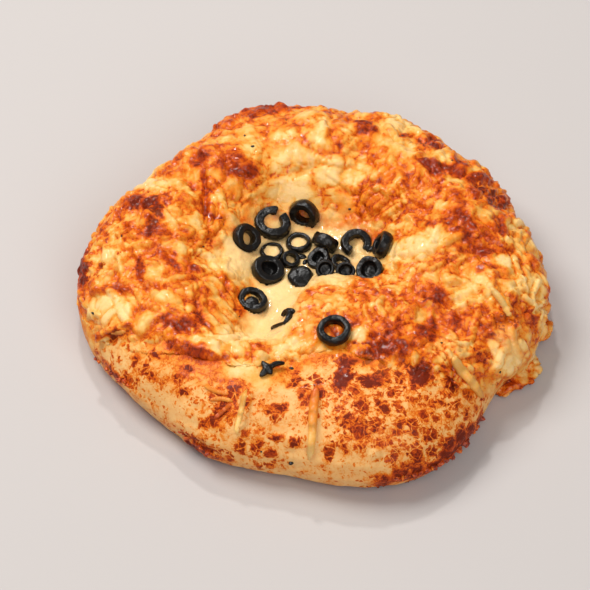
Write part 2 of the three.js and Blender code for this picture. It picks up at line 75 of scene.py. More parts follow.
# %% The camera, and a spot of the photograph on the loaf
PIXEL = 0.4 * MM  # one pixel of the photograph, in the loaf's plane
PHOTO_SIZE = 590
LOAF_PIXEL = (313.5, 318.8)  # where the middle of the loaf's base is seen
DISTANCE = 3.0
TILT = math.radians(49.5)

RIGHT = Vector((1, 0, 0))
UP = Vector((0, math.sin(TILT), math.cos(TILT)))
BACK = Vector((0, -math.cos(TILT), math.sin(TILT)))


def seen_at(px, py):
    """The place of a pixel in the plane through the loaf's middle that faces the camera."""
    return (px - LOAF_PIXEL[0]) * PIXEL * RIGHT + (LOAF_PIXEL[1] - py) * PIXEL * UP


camera = bpy.data.objects.new("camera", bpy.data.cameras.new("camera"))
bpy.context.scene.collection.objects.link(camera)
bpy.context.scene.camera = camera
camera.data.sensor_width = 36
camera.data.lens = camera.data.sensor_width * DISTANCE / (PHOTO_SIZE * PIXEL)
camera.location = seen_at(PHOTO_SIZE / 2, PHOTO_SIZE / 2) + BACK * DISTANCE
camera.rotation_mode = "QUATERNION"
camera.rotation_quaternion = BACK.to_track_quat("Z", "Y")
print("lens:", round(camera.data.lens, 1), "mm")

# %% [markdown]
# ## Shapes from the solids
#
# Each solid is a coarse mesh of loose triangles. A copy is merged first, then a voxel remesh turns it into
# an even net of small squares, fine enough to carry lumps and strands. The rest is done as a sculptor
# does: the points of the net are moved, in code, so that it comes out the same each time.

# %% Copies of the solids, and finished pieces
def merged_copy(*nodes):
    """The solids of these nodes as one editable shape, with their loose triangles joined."""
    shape = bmesh.new()
    for node in nodes:
        shape.from_mesh(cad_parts[node].data)
    bmesh.ops.remove_doubles(shape, verts=shape.verts, dist=1e-6)
    return shape


def make_piece(shape, name):
    mesh = bpy.data.meshes.new(name)
    shape.to_mesh(mesh)
    shape.free()
    piece = bpy.data.objects.new(name, mesh)
    bpy.context.scene.collection.objects.link(piece)
    return piece


def shade_smooth(piece):
    piece.data.polygons.foreach_set("use_smooth", [True] * len(piece.data.polygons))


def apply_modifiers(piece):
    """Makes what the modifiers show the piece's own mesh."""
    coarse = piece.data
    settled = piece.evaluated_get(bpy.context.evaluated_depsgraph_get())
    piece.data = bpy.data.meshes.new_from_object(settled)
    piece.data.name = piece.name
    piece.modifiers.clear()
    bpy.data.meshes.remove(coarse)
    shade_smooth(piece)


def remesh(piece, size):
    """Turns the piece into an even net of squares of this size."""
    voxels = piece.modifiers.new("net", "REMESH")
    voxels.mode = "VOXEL"
    voxels.voxel_size = size
    apply_modifiers(piece)


def points_of(piece):
    """The piece's points in millimetres, one row each."""
    flat = np.empty(len(piece.data.vertices) * 3)
    piece.data.vertices.foreach_get("co", flat)
    return flat.reshape(-1, 3) / MM


def normals_of(piece):
    flat = np.empty(len(piece.data.vertices) * 3, np.float32)
    piece.data.vertices.foreach_get("normal", flat)
    return flat.reshape(-1, 3).astype(float)


def move_points(piece, points):
    piece.data.vertices.foreach_set("co", (points * MM).ravel())
    piece.data.update()


# %% Surfaces that can be asked what is near
bread_tree = BVHTree.FromBMesh(merged_copy("bread"))
top_tree = BVHTree.FromBMesh(merged_copy("bread", "cheese"))
olive_tree = BVHTree.FromBMesh(merged_copy(*OLIVE_NODES))
dip = top_tree.ray_cast((0, 0, 0.2), (0, 0, -1))[0]
print("height in the dip:", round(dip.z / MM, 1), "mm")

# %% [markdown]
# ## Helpers for fields
#
# A field is one number for each point of a net: how far a lump rises, or how brown the cheese is there.
# Fields are added up from noise, from marks at named places, and from the shape itself.

# %% Noise, steps and spreading
def ramp(values, low, high):
    """0 below low, 1 above high, and a smooth step between."""
    share = np.clip((values - low) / (high - low), 0, 1)
    return share * share * (3 - 2 * share)


def cloud(points, size, octaves=2, seed=0):
    """Soft noise from about -1 to 1, in blots about size millimetres across."""
    start = np.array((seed * 7.3, seed * 3.1, -seed * 5.7))
    return np.array([
        noise.fractal(place, 0.9, 2.1, octaves) for place in (points / size + start).tolist()
    ])


def pebbles(points, size, seed=0):
    """Rounded lumps about size millimetres across: 0 in the creases between them, 1 in the middle."""
    start = np.array((seed * 4.7, -seed * 2.9, seed * 6.1))
    near = [noise.voronoi(place)[0][:2] for place in (points / size + start).tolist()]
    first, second = np.array(near).T
    return np.sqrt(np.clip((second - first) * 1.6, 0, 1))


def bent(points, size, amount, seed=0):
    """The points shifted by slow noise, so that what is laid out on them has wandering edges."""
    shifts = [cloud(points, size, 2, seed + 31 * axis) for axis in range(3)]
    return points + np.stack(shifts, axis=1) * amount


def spread(piece, values, rounds, share=0.5):
    """A field, or the points themselves, blurred over the net's edges."""
    ends = np.empty(len(piece.data.edges) * 2, np.int32)
    piece.data.edges.foreach_get("vertices", ends)
    start, stop = ends[0::2], ends[1::2]
    count = np.maximum(np.bincount(ends, minlength=len(values)), 1)
    blurred = values.reshape(len(values), -1).astype(float)
    for _ in range(rounds):
        for column in blurred.T:
            total = np.bincount(start, column[stop], len(column))
            total += np.bincount(stop, column[start], len(column))
            column += share * (total / count - column)
    return blurred.reshape(values.shape)


def even_out(piece, rounds):
    """Rounds off the solid's flat faces without shrinking it: each pull in is followed by a push out."""
    points = points_of(piece)
    for _ in range(rounds):
        points = spread(piece, points, 1, 0.5)
        points = spread(piece, points, 1, -0.52)
    move_points(piece, points)


def nearest(tree, points):
    """Distance to a tree's surface, in millimetres, and on which side: negative is inside."""
    result = np.empty((len(points), 2))
    for row, place in enumerate((points * MM).tolist()):
        spot, normal, _, distance = tree.find_nearest(place)
        side = (Vector(place) - spot).dot(normal)
        result[row] = distance / MM, math.copysign(distance / MM, side)
    return result


# %% Marks placed by the photograph
def spot_on(tree, px, py):
    """Where the line of sight through a pixel meets a surface, in millimetres."""
    hit = tree.ray_cast(seen_at(px, py) + BACK * 0.5, -BACK)[0]
    return np.array(hit or tree.find_nearest(seen_at(px, py))[0]) / MM


def oval(points, px, py, length, width, turn=0.0, edge=0.45):
    """1 inside an oval mark and 0 outside. Length and width are half sizes in the photograph's pixels."""
    middle = spot_on(top_tree, px, py)
    away = points - middle
    side, rise, depth = away @ np.array(RIGHT), away @ np.array(UP), away @ np.array(BACK)
    angle = math.radians(turn)
    along = (side * math.cos(angle) + rise * math.sin(angle)) / (length * PIXEL / MM)
    across = (rise * math.cos(angle) - side * math.sin(angle)) / (width * PIXEL / MM)
    deep = depth / (1.4 * max(length, width) * PIXEL / MM)
    reach = np.sqrt(along ** 2 + across ** 2 + deep ** 2)
    return 1 - ramp(reach, 1 - edge, 1 + edge)


def add_marks(points, marks):
    """The sum of many ovals, each given as pixel, half sizes, turn and strength."""
    total = np.zeros(len(points))
    for px, py, length, width, turn, strength in marks:
        total += strength * oval(points, px, py, length, width, turn)
    return total


# %% Where the crust is bare
# Where the crust starts to look bare, as pixels across and down the photograph.
CRUST_LINE = [
    (60, 335), (95, 341), (125, 343), (150, 352), (176, 366), (205, 378), (240, 372), (262, 384),
    (290, 378), (318, 362), (340, 356), (365, 370), (405, 366), (440, 380), (470, 396), (500, 380),
    (525, 395), (560, 395),
]


def below_crust_line(points):
    """How many of the photograph's pixels below the wandering end of the cheese each point shows."""
    across = LOAF_PIXEL[0] + points @ np.array(RIGHT) / (PIXEL / MM)
    down = LOAF_PIXEL[1] - points @ np.array(UP) / (PIXEL / MM)
    return down - np.interp(across, *zip(*CRUST_LINE)) + 9 * cloud(points, 7, 2, seed=47)


# %% [markdown]
# ## The cheese
#
# On the real loaf this is one sheet of grated cheese that has melted together: fat pillows with creases
# between, strands that kept their shape, blisters that rose and browned, and a smooth pale pool in the dip.
# The solid has the sheet and its big swells, with a pocket under every olive. Plugs close the pockets, the
# underside is pressed into the bread so that no gap shows along the edge, and the finer relief follows.

# %% The ground round an olive
def ground_near(olive_shape):
    """A point and a normal of the surface that an olive lies in, from spots in a ring round it."""
    corners = np.array([corner.co for corner in olive_shape.verts])
    middle = corners.mean(axis=0)
    reach = np.linalg.norm((corners - middle)[:, :2], axis=1).max()
    spots = []
    for step in range(48):
        angle = step * math.tau / 24
        away = reach + (1.4 if step < 24 else 2.8) * MM
        start = Vector((middle[0] + away * math.cos(angle), middle[1] + away * math.sin(angle), 0.2))
        spot = top_tree.ray_cast(start, (0, 0, -1))[0]
        if spot and olive_tree.find_nearest(spot)[3] > 0.9 * MM:
            spots.append(spot)
    spots = np.array(spots)
    flat = np.column_stack((spots[:, :2] - middle[:2], np.ones(len(spots))))
    slope_x, slope_y, height = np.linalg.lstsq(flat, spots[:, 2], rcond=None)[0]
    return Vector((middle[0], middle[1], height)), Vector((-slope_x, -slope_y, 1)).normalized()


# %% Plugs for the pockets under the olives
PLUG_SWELL = 1.16  # how much larger a plug is than its olive
PLUG_SINK = 0.6  # how far it is pushed down, in millimetres
PLUG_TOP = 0.7  # how far below the ground round it a plug is cut off


def plug_for(node, into):
    """A swollen hull of an olive, cut off level with the cheese round it, added to a shape."""
    plug = merged_copy(node)
    level, normal = ground_near(plug)
    middle = sum((corner.co for corner in plug.verts), Vector()) / len(plug.verts)
    bmesh.ops.translate(plug, verts=plug.verts, vec=-middle)
    bmesh.ops.scale(plug, verts=plug.verts, vec=(PLUG_SWELL,) * 3)
    bmesh.ops.translate(plug, verts=plug.verts, vec=middle - normal * PLUG_SINK * MM)
    hull = bmesh.ops.convex_hull(plug, input=plug.verts, use_existing_faces=False)
    inside = hull["geom_interior"] + hull["geom_unused"]
    scraps = [part for part in inside if isinstance(part, bmesh.types.BMVert)]
    bmesh.ops.delete(plug, geom=scraps, context="VERTS")
    old = [face for face in plug.faces if face not in set(hull["geom"])]
    bmesh.ops.delete(plug, geom=old, context="FACES_ONLY")
    bmesh.ops.bisect_plane(
        plug, geom=plug.verts[:] + plug.edges[:] + plug.faces[:],
        plane_co=level - normal * PLUG_TOP * MM, plane_no=normal, clear_outer=True,
    )
    bmesh.ops.holes_fill(plug, edges=plug.edges)
    bmesh.ops.recalc_face_normals(plug, faces=plug.faces)
    mesh = bpy.data.meshes.new("plug")
    plug.to_mesh(mesh)
    plug.free()
    into.from_mesh(mesh)
    bpy.data.meshes.remove(mesh)


# %% The cheese as an even net
CHEESE_NET = 0.72 * MM
PRESS_REACH = 0.9 * MM  # the underside is pressed in where the bread is nearer than this
PRESS_DEPTH = 1.3  # and goes this far into it, in millimetres
shape = merged_copy("cheese")
shape.normal_update()
pressed = 0
for corner in shape.verts:
    spot, normal, _, distance = bread_tree.find_nearest(corner.co)
    if distance < PRESS_REACH and corner.normal.dot(normal) < 0.2:
        corner.co = corner.co - normal * PRESS_DEPTH * MM
        pressed += 1
for node in OLIVE_NODES:
    plug_for(node, shape)
cheese = make_piece(shape, "melted_cheese")
remesh(cheese, CHEESE_NET)
even_out(cheese, 16)
print("cheese:", pressed, "points pressed into the bread,", len(cheese.data.vertices), "in the net")

# %% [markdown]
# The relief is a sum of fields along the normal. Pillows come from a cell pattern on wandering
# coordinates, with a smaller one of knobs on top. Strands are added one by one as rounded ribs, because
# grated cheese that melts in place leaves just that. In the pool and a few other places all of it is
# smoothed away. Round the olives the relief fades, so that none is buried.

# %% Strands as ribs in the sheet
# Strands that show in the photograph: pixels along each, half width in millimetres, and shade from -1,
# paler than what is round it, to 1, browner.
SHOWN_RIBS = [
    ([(92, 292), (112, 289), (131, 291)], 1.7, 0.5), ([(109, 277), (118, 268), (127, 258)], 1.3, 0.3),
    ([(512, 258), (520, 276), (523, 298)], 1.6, -0.9), ([(499, 280), (512, 292), (528, 302)], 1.6, -0.9),
    ([(488, 288), (500, 302), (508, 316)], 1.7, -0.8), ([(478, 300), (474, 318), (468, 338)], 1.8, -0.8),
    ([(536, 282), (530, 296), (531, 312)], 1.4, -0.6), ([(434, 210), (440, 200), (446, 191)], 1.8, -0.7),
    ([(400, 118), (414, 126), (424, 134)], 1.5, -0.6), ([(388, 126), (396, 132), (402, 141)], 1.4, -0.6),
    ([(446, 134), (449, 148), (446, 160)], 1.6, -0.7), ([(412, 158), (424, 170), (436, 182)], 1.4, -0.4),
    ([(458, 354), (472, 352), (484, 349)], 1.3, -0.6), ([(228, 352), (240, 362), (252, 372)], 1.6, -0.6),
    ([(322, 370), (324, 364), (322, 358)], 1.8, -0.2), ([(390, 192), (384, 200), (376, 208)], 1.4, -0.4),
    ([(178, 214), (176, 202), (180, 190)], 1.8, -0.6), ([(506, 240), (518, 252), (528, 268)], 1.5, -0.7),
    ([(484, 268), (492, 280), (496, 296)], 1.5, -0.5), ([(420, 300), (436, 306), (452, 318)], 2.0, -0.5),
    ([(150, 182), (166, 186), (186, 188)], 2.2, -0.6), ([(100, 240), (112, 232), (128, 230)], 1.6, 0.2),
    ([(250, 136), (258, 148), (256, 164)], 1.8, -0.5), ([(290, 128), (300, 144), (296, 166)], 2.0, -0.6),
    ([(322, 118), (326, 132), (318, 148)], 2.0, -0.7), ([(345, 150), (352, 162), (368, 168)], 1.8, -0.5),
]


# %% Lines for the other strands, and ribs along lines
def random_lines(points, normals, count, seed, likely):
    """Lines of a few spots that wander over the surface, more of them where likely is high."""
    draw = random.Random(seed)
    lines = []
    while len(lines) < count:
        row = draw.randrange(len(points))
        if likely[row] < draw.random():
            continue
        normal = Vector(normals[row])
        heading = normal.cross(Vector((draw.uniform(-1, 1), draw.uniform(-1, 1), 0.2))).normalized()
        step, turn = draw.uniform(1.6, 4.2) * MM, draw.uniform(-0.35, 0.35)
        spots = [Vector(points[row] * MM)]
        for _ in range(4):
            spots.append(top_tree.find_nearest(spots[-1] + heading * step)[0])
            heading = (heading + normal.cross(heading) * turn).normalized()
        lines.append((np.array(spots) / MM, draw.uniform(1.2, 2.2), draw.uniform(-1, 1)))
    return lines


def ribs(points, lines):
    """Rounded ribs along lines: their rise from 0 to 1, their shade, and the crease beside them."""
    rise, shade, crease = np.zeros((3, len(points)))
    for spots, radius, own_shade in lines:
        middle = spots[len(spots) // 2]
        size = np.linalg.norm(spots - middle, axis=1).max() + 2 * radius
        near = np.flatnonzero(((points - middle) ** 2).sum(axis=1) < size ** 2)
        reach = np.full(len(near), 9.0)
        for start, stop in zip(spots, spots[1:]):
            along = np.clip((points[near] - start) @ (stop - start) / ((stop - start) ** 2).sum(), 0, 1)
            away = points[near] - start - along[:, None] * (stop - start)
            reach = np.minimum(reach, np.linalg.norm(away, axis=1) / radius)
        rib = np.clip(1 - reach ** 2, 0, 1) ** 0.8
        higher = rib > rise[near]
        rise[near[higher]] = rib[higher]
        shade[near[higher]] = own_shade * rib[higher]
        crease[near] = np.where(reach < 1, np.minimum(crease[near], 1 - rib), crease[near])
        crease[near] = np.maximum(crease[near], 1 - np.abs(reach - 1.15) / 0.3)
    return rise, shade, crease


# %% Named lumps, ridges and creases of the photographed loaf
# Pixel, half sizes in pixels, turn in degrees, and height in millimetres: below 0 it is a crease.
CHEESE_FORMS = [
    (365, 127, 12, 7, -18, 1.6), (134, 200, 9, 4, 10, 1.1), (146, 216, 5, 9, 30, 1.0),
    (200, 350, 26, 6, -12, 1.5), (212, 344, 12, 4, 4, 0.8), (385, 349, 26, 8, 14, 1.3),
    (420, 334, 15, 9, 35, 1.2), (478, 178, 14, 4, 8, 1.2), (473, 192, 8, 5, -25, 0.9),
    (493, 223, 12, 7, -35, 1.2), (457, 168, 12, 5, 8, 0.9), (430, 163, 12, 5, -25, 0.8),
    (418, 246, 30, 11, 12, 1.1), (353, 183, 22, 13, 12, 0.9), (300, 150, 24, 16, 0, 0.5),
    (324, 130, 6, 14, 20, 0.9), (268, 107, 20, 4, 8, 0.9), (228, 119, 9, 4, 25, 0.8),
    (202, 132, 9, 5, 35, 0.8), (166, 187, 22, 5, 8, 1.1), (175, 213, 9, 12, 0, 0.7),
    (112, 290, 20, 4, 2, 0.9), (118, 267, 13, 3, 45, 0.8), (104, 331, 24, 4, 3, 1.0),
    (125, 228, 9, 9, 0, 0.8), (125, 228, 4, 4, 0, -1.5), (235, 166, 20, 12, -10, 0.9),
    (208, 165, 7, 12, 20, 0.6), (343, 303, 30, 14, 4, 0.8), (505, 355, 14, 22, 15, 1.2),
    (446, 350, 12, 15, 10, 0.8), (531, 262, 7, 9, 0, 0.9), (292, 416, 7, 7, 0, 1.0),
    (323, 366, 5, 7, 0, 0.9), (307, 365, 10, 5, 20, 0.7), (464, 215, 18, 14, -45, 0.7),
    (206, 196, 2.5, 24, 4, -1.6), (313, 158, 4, 14, 10, -0.9), (297, 174, 10, 5, 10, -0.8),
    (329, 122, 2, 12, -30, -0.9), (187, 265, 26, 2.5, -38, -1.0), (240, 372, 22, 2, -25, -0.9),
    (438, 262, 24, 2.2, 10, -0.9), (395, 300, 3, 18, -10, -0.8), (462, 305, 3, 20, 30, -0.7),
]

# Where small lumps stand close together and their tops are toasted, and how strongly.
TOASTED = [
    (468, 180, 44, 24, -25, 1.0), (470, 235, 26, 30, 0, 0.8), (265, 110, 60, 12, 10, 1.0),
    (180, 150, 34, 16, 40, 0.8), (150, 215, 30, 26, 0, 0.9), (400, 140, 40, 18, -20, 0.8),
    (385, 348, 34, 12, 14, 0.8), (430, 330, 20, 16, 30, 0.6), (188, 350, 26, 9, -10, 0.9),
    (150, 280, 28, 16, 0, 0.5), (90, 270, 14, 36, 8, 0.9), (500, 300, 22, 40, 10, 0.4),
    (236, 166, 24, 14, -10, 0.8), (366, 128, 16, 10, -18, 0.6), (460, 290, 24, 20, 0, 0.5),
]

# Where the cheese melted smooth outside the pool, and how smooth it is.
SMOOTHED = [
    (275, 150, 46, 24, 0, 0.6), (298, 192, 44, 20, 0, 0.8), (505, 352, 18, 26, 15, 0.6),
    (110, 312, 26, 18, 0, 0.85),
]
print("named forms:", len(CHEESE_FORMS))

# %% Where the cheese shows, and where it is smooth
points = points_of(cheese)
normals = normals_of(cheese)
cheese_side = nearest(bread_tree, points)[:, 1]
olive_gap = nearest(olive_tree, points)[:, 0]
shows = ramp(cheese_side, 0.05, 0.7)
wandering = bent(bent(points, 14, 3.4, seed=3), 4.5, 1.1, seed=29)
in_pool = oval(wandering, 300, 250, 78, 40, 0, 0.35)
in_pool = np.maximum(in_pool, oval(wandering, 272, 318, 26, 42, -8, 0.3))
smooth = np.clip(in_pool + add_marks(points, SMOOTHED), 0, 1)
print("shows:", round(shows.mean(), 2), "pool:", round(in_pool.mean(), 2))

# %% The ribs on this loaf
RIB_COUNT = 330
likely = shows * (1 - 0.9 * in_pool) * ramp(normals[:, 2], 0.1, 0.3)
likely *= 1 - 0.9 * oval(points, 300, 165, 90, 60, 0)
lines = random_lines(points, normals, RIB_COUNT, 11, likely)
for pixels, half_width, own_shade in SHOWN_RIBS:
    lines.append((np.array([spot_on(top_tree, *pixel) for pixel in pixels]), half_width, own_shade))
rib_rise, rib_shade, rib_crease = ribs(points, lines)
soft_ribs = (1 - 0.8 * in_pool) * (1 - 0.55 * oval(points, 300, 150, 80, 46, 0))
print("ribs:", len(lines), "on", round((rib_rise > 0).mean(), 2), "of the net")

# %% The relief of the cheese
# Sizes and heights in millimetres.
PILLOW_SIZE, PILLOW_HEIGHT = 12, 2.0
KNOB_SIZE, KNOB_HEIGHT = 5.2, 1.25
RIB_HEIGHT, RIB_CREASE = 1.05, 0.2
DEEPEST, HIGHEST = -2.2, 2.0
pillows = pebbles(wandering, PILLOW_SIZE, seed=1)
knobs = pebbles(bent(points, 6, 1.8, seed=8), KNOB_SIZE, seed=5)
lumpy = 0.45 + 0.55 * np.clip(add_marks(points, TOASTED), 0, 1)
relief = PILLOW_HEIGHT * (pillows - 0.62) + KNOB_HEIGHT * lumpy * (knobs - 0.6)
relief += 0.12 * cloud(points, 2.4, 2, seed=2)
relief = relief * (1 - 0.86 * smooth) + (RIB_HEIGHT * rib_rise - RIB_CREASE * rib_crease) * soft_ribs
relief += add_marks(bent(points, 5, 0.7, seed=21), CHEESE_FORMS)
relief *= shows * ramp(olive_gap, 0.6, 4.0)
relief += 0.3 * np.exp(-np.square(olive_gap / 1.1)) * ramp(cheese_side, 0.4, 1.2)
relief = np.clip(relief, DEEPEST, HIGHEST)
print("relief:", np.round(np.percentile(relief, (2, 50, 98)), 2))

# %% The rim of the sheet, and the cheese over the slices
# Where the cheese ends on the crust its rim sinks in, unevenly, so that no step is left. No cheese stands
# much higher than the solids, and none lies over a slice. All in millimetres.
RIM_SINK = 1.9
HEADROOM = 0.6
UNDER_SLICE = 1.4
near_crust = np.maximum(ramp(below_crust_line(points), -32, -12), ramp(22 - points[:, 2], 0, 6))
at_rim = (1 - ramp(cheese_side, 1.2, 2.6)) * ramp(cheese_side, -0.2, 0.2) * near_crust
relief -= at_rim * (RIM_SINK + 1.2 * cloud(points, 6.5, 2, seed=23))
points = points + normals * relief[:, None]
points[:, 2] = np.minimum(points[:, 2], cad_box[1].z / MM + HEADROOM)
for row in np.flatnonzero(olive_gap < 6):
    spot = olive_tree.ray_cast(points[row] * MM, (0, 0, -1), 5 * MM)[0]
    if spot is not None and cheese_side[row] > 0:
        points[row, 2] = spot.z / MM - UNDER_SLICE
move_points(cheese, points)
print("highest cheese:", round(points[:, 2].max(), 1), "mm")

# %% [markdown]
# ## How brown it is
#
# Cheese browns where it stands proud and dries, and along strands. One field, the bake, holds it: 0 is
# cream, 0.5 orange and 1 nearly burnt. It also holds painted shade, browner in the creases and low on the
# loaf, and painted light, paler on the tops of lumps. The material turns it into colour and adds what is
# finer than the net. Marks give the patches that the photograph shows; noise gives the rest, the hidden back
# as well.
# Cheese and crust take their bake from one rule, so that the end of the cheese is hard to tell, as it is
# on the real loaf. The front of the crust is paler and has islands of red-brown with cream lines between.

# %% Browned and pale patches
# Pixel, half sizes in pixels, turn in degrees, and how much browner. The first rows are broad tones, a
# few of them paler. The others are the single browned lumps, ridges and blisters.
BROWNED = [
    (200, 235, 48, 42, 0, -0.06), (95, 262, 12, 18, 0, -0.18), (230, 128, 24, 8, 10, -0.12),
    (384, 349, 12, 9, 14, 0.15), (432, 190, 46, 40, -20, 0.1), (400, 328, 56, 24, 10, 0.12),
    (188, 330, 38, 16, 0, 0.14), (365, 205, 32, 16, -10, 0.08), (160, 215, 26, 26, 0, 0.1),
    (218, 218, 14, 12, 0, 0.1), (470, 230, 26, 24, 0, 0.1), (150, 365, 40, 16, -35, 0.1),
    (225, 395, 40, 16, -10, 0.1), (395, 400, 60, 40, 0, 0.06), (410, 350, 26, 12, 10, 0.15),
    (268, 106, 28, 7, 8, 0.5), (230, 118, 14, 6, 25, 0.26), (201, 133, 14, 8, 35, 0.35),
    (185, 150, 10, 6, 30, 0.35), (222, 143, 9, 4, 15, 0.35), (198, 160, 8, 12, 30, 0.3),
    (236, 165, 24, 14, -10, 0.33), (250, 171, 8, 5, 0, 0.3), (207, 196, 4, 26, 4, 0.3),
    (180, 205, 14, 10, 0, 0.12), (134, 199, 12, 5, 10, 0.4), (147, 217, 7, 11, 30, 0.45),
    (157, 208, 6, 6, 0, 0.35), (125, 228, 5, 7, 0, 0.42), (148, 236, 6, 5, 0, 0.35),
    (160, 232, 8, 6, 0, 0.3), (137, 238, 5, 4, 0, 0.3), (162, 252, 26, 8, -30, 0.25),
    (185, 268, 16, 7, -35, 0.25), (142, 270, 5, 12, 8, 0.62), (161, 286, 6, 5, 0, 0.45),
    (112, 290, 22, 5, 2, 0.25), (83, 278, 6, 30, 8, 0.35), (170, 319, 8, 7, -30, 0.4),
    (186, 330, 14, 7, -10, 0.3), (173, 345, 7, 7, 0, 0.45), (198, 352, 24, 9, -8, 0.42),
    (218, 346, 14, 5, 0, 0.3), (366, 127, 14, 8, -18, 0.5), (331, 131, 6, 6, 0, 0.3),
    (403, 135, 4, 4, 0, 0.35), (405, 145, 4, 5, 0, 0.45), (436, 142, 8, 5, -20, 0.35),
    (430, 163, 14, 6, -28, 0.6), (458, 168, 11, 8, 10, 0.6), (478, 178, 18, 5, 8, 0.5),
    (473, 192, 9, 6, -25, 0.3), (494, 224, 13, 9, -35, 0.4), (433, 226, 7, 6, 0, 0.45),
    (458, 224, 20, 14, -35, 0.3), (468, 249, 22, 7, -20, 0.3), (479, 268, 6, 7, 0, 0.3),
    (365, 200, 26, 16, -10, 0.06), (531, 262, 8, 9, 0, 0.3), (549, 293, 4, 10, 10, 0.5),
    (384, 349, 28, 10, 14, 0.3), (424, 330, 14, 12, 35, 0.4), (382, 349, 12, 5, 10, 0.25),
    (438, 295, 6, 10, 10, 0.3), (448, 316, 14, 4, -20, 0.25), (420, 283, 10, 10, 0, 0.2),
    (343, 374, 8, 15, -18, 0.5), (322, 355, 12, 4, 0, 0.15), (373, 378, 14, 8, 10, 0.35),
    (418, 375, 12, 11, 0, 0.45), (480, 356, 12, 14, 0, 0.2), (476, 315, 5, 8, 0, 0.3),
    (510, 300, 6, 6, 0, 0.2), (300, 372, 12, 6, -20, 0.2), (500, 391, 7, 5, 25, 0.3),
    (528, 350, 8, 16, 0, 0.1), (536, 318, 6, 14, 10, 0.25),
]

# The same for what is paler: the pool, pillows that stayed cream, and the runs at the end of the cheese.
PALE = [
    (300, 160, 40, 20, 0, -0.18), (250, 140, 14, 10, 0, -0.22), (322, 128, 10, 16, 15, -0.25),
    (285, 192, 28, 14, 0, -0.20), (354, 176, 22, 9, 10, -0.3), (418, 246, 34, 14, 12, -0.3),
    (388, 258, 12, 18, 0, -0.2), (236, 262, 12, 22, 0, -0.3), (225, 335, 30, 16, 0, -0.32),
    (272, 318, 26, 40, -10, -0.4), (300, 262, 70, 30, 0, -0.35), (156, 184, 24, 6, 5, -0.35),
    (172, 214, 8, 12, 0, -0.22), (130, 222, 16, 14, 0, -0.14), (112, 308, 24, 16, 0, -0.34),
    (108, 262, 18, 14, 0, -0.22), (104, 331, 24, 5, 3, -0.15), (130, 350, 30, 14, 0, -0.15),
    (404, 122, 18, 9, -20, -0.25), (398, 142, 24, 10, -25, -0.2), (450, 140, 8, 14, 30, -0.22),
    (455, 182, 12, 5, 10, -0.3), (440, 200, 5, 12, -30, -0.2), (480, 214, 18, 6, -40, -0.2),
    (504, 263, 7, 7, 0, -0.35), (520, 240, 14, 20, 20, -0.18), (505, 350, 18, 26, 15, -0.26),
    (356, 334, 8, 7, 0, -0.55), (446, 346, 18, 18, 10, -0.22), (432, 276, 14, 14, 0, -0.15),
    (470, 290, 26, 18, 0, -0.22), (420, 312, 16, 10, 0, -0.3), (352, 302, 22, 10, 0, -0.08),
    (330, 304, 20, 10, 0, -0.1), (250, 372, 30, 10, -20, -0.25), (290, 350, 14, 12, 0, -0.25),
    (306, 330, 10, 20, 0, -0.1), (525, 290, 16, 22, 20, -0.18), (541, 320, 7, 20, 10, -0.2),
    (532, 365, 14, 22, 0, -0.4), (541, 316, 9, 18, 0, -0.2), (530, 384, 22, 10, 0, -0.7),
    (345, 368, 50, 4, 6, -0.2), (200, 380, 40, 10, -20, -0.1),
]
print("browned marks:", len(BROWNED), "pale marks:", len(PALE))

# %% Islands, and the crust's own tones
# Where the brown breaks up into islands with cream between them, and how closely they stand.
ISLANDS = [
    (400, 405, 84, 50, -12, 0.76), (345, 374, 12, 18, -20, 0.5), (418, 376, 18, 14, 0, 0.6),
    (345, 422, 24, 16, 0, 0.4), (440, 442, 44, 22, 30, 0.4), (376, 380, 18, 9, 10, 0.45),
    (222, 408, 24, 18, 40, 0.62), (276, 405, 16, 7, 0, 0.8), (285, 420, 18, 10, 0, 0.35),
    (312, 385, 16, 16, 0, 0.6), (185, 378, 18, 12, -30, 0.36), (205, 440, 40, 8, -30, 0.4),
    (130, 350, 34, 22, -40, 0.32), (240, 392, 18, 10, 0, 0.5), (110, 370, 10, 26, 40, 0.3),
    (440, 395, 30, 24, 0, 0.12), (494, 198, 20, 16, -30, 0.75), (418, 140, 22, 9, -30, 0.5),
    (98, 250, 22, 34, 10, 0.55), (150, 215, 26, 34, 0, 0.35), (498, 322, 18, 16, 0, 0.5),
    (470, 292, 22, 24, 0, 0.4), (262, 450, 60, 14, -5, 0.22), (212, 434, 14, 12, 0, 0.4),
]

# Spots, blisters and folds of the bare crust, and how much browner they are.
CRUST_TONES = [
    (342, 374, 8, 16, -18, 0.42), (418, 375, 12, 10, 0, 0.40), (276, 405, 13, 5, 0, 0.36),
    (374, 378, 12, 6, 20, 0.25), (374, 450, 5, 5, 0, -0.3), (292, 439, 7, 7, 0, 0.28),
    (276, 434, 4.5, 4, 0, 0.5), (245, 431, 4, 4, 0, 0.55), (222, 405, 14, 6, 40, 0.28),
    (214, 418, 14, 5, 40, 0.34), (303, 392, 6, 8, 30, 0.42), (319, 389, 5, 10, 0, 0.45),
    (349, 420, 14, 9, 0, 0.25), (270, 458, 70, 14, -5, -0.04), (180, 380, 22, 14, -30, 0.08),
    (456, 442, 40, 9, 42, 0.5), (404, 470, 34, 8, 12, 0.45), (486, 410, 8, 9, 40, 0.5),
    (199, 445, 16, 5, -28, 0.5), (118, 374, 26, 4, -44, 0.45), (220, 454, 30, 4, -22, 0.2),
    (240, 420, 26, 12, 0, 0.06), (150, 385, 22, 14, -40, 0.08), (225, 385, 26, 9, 0, 0.16),
]

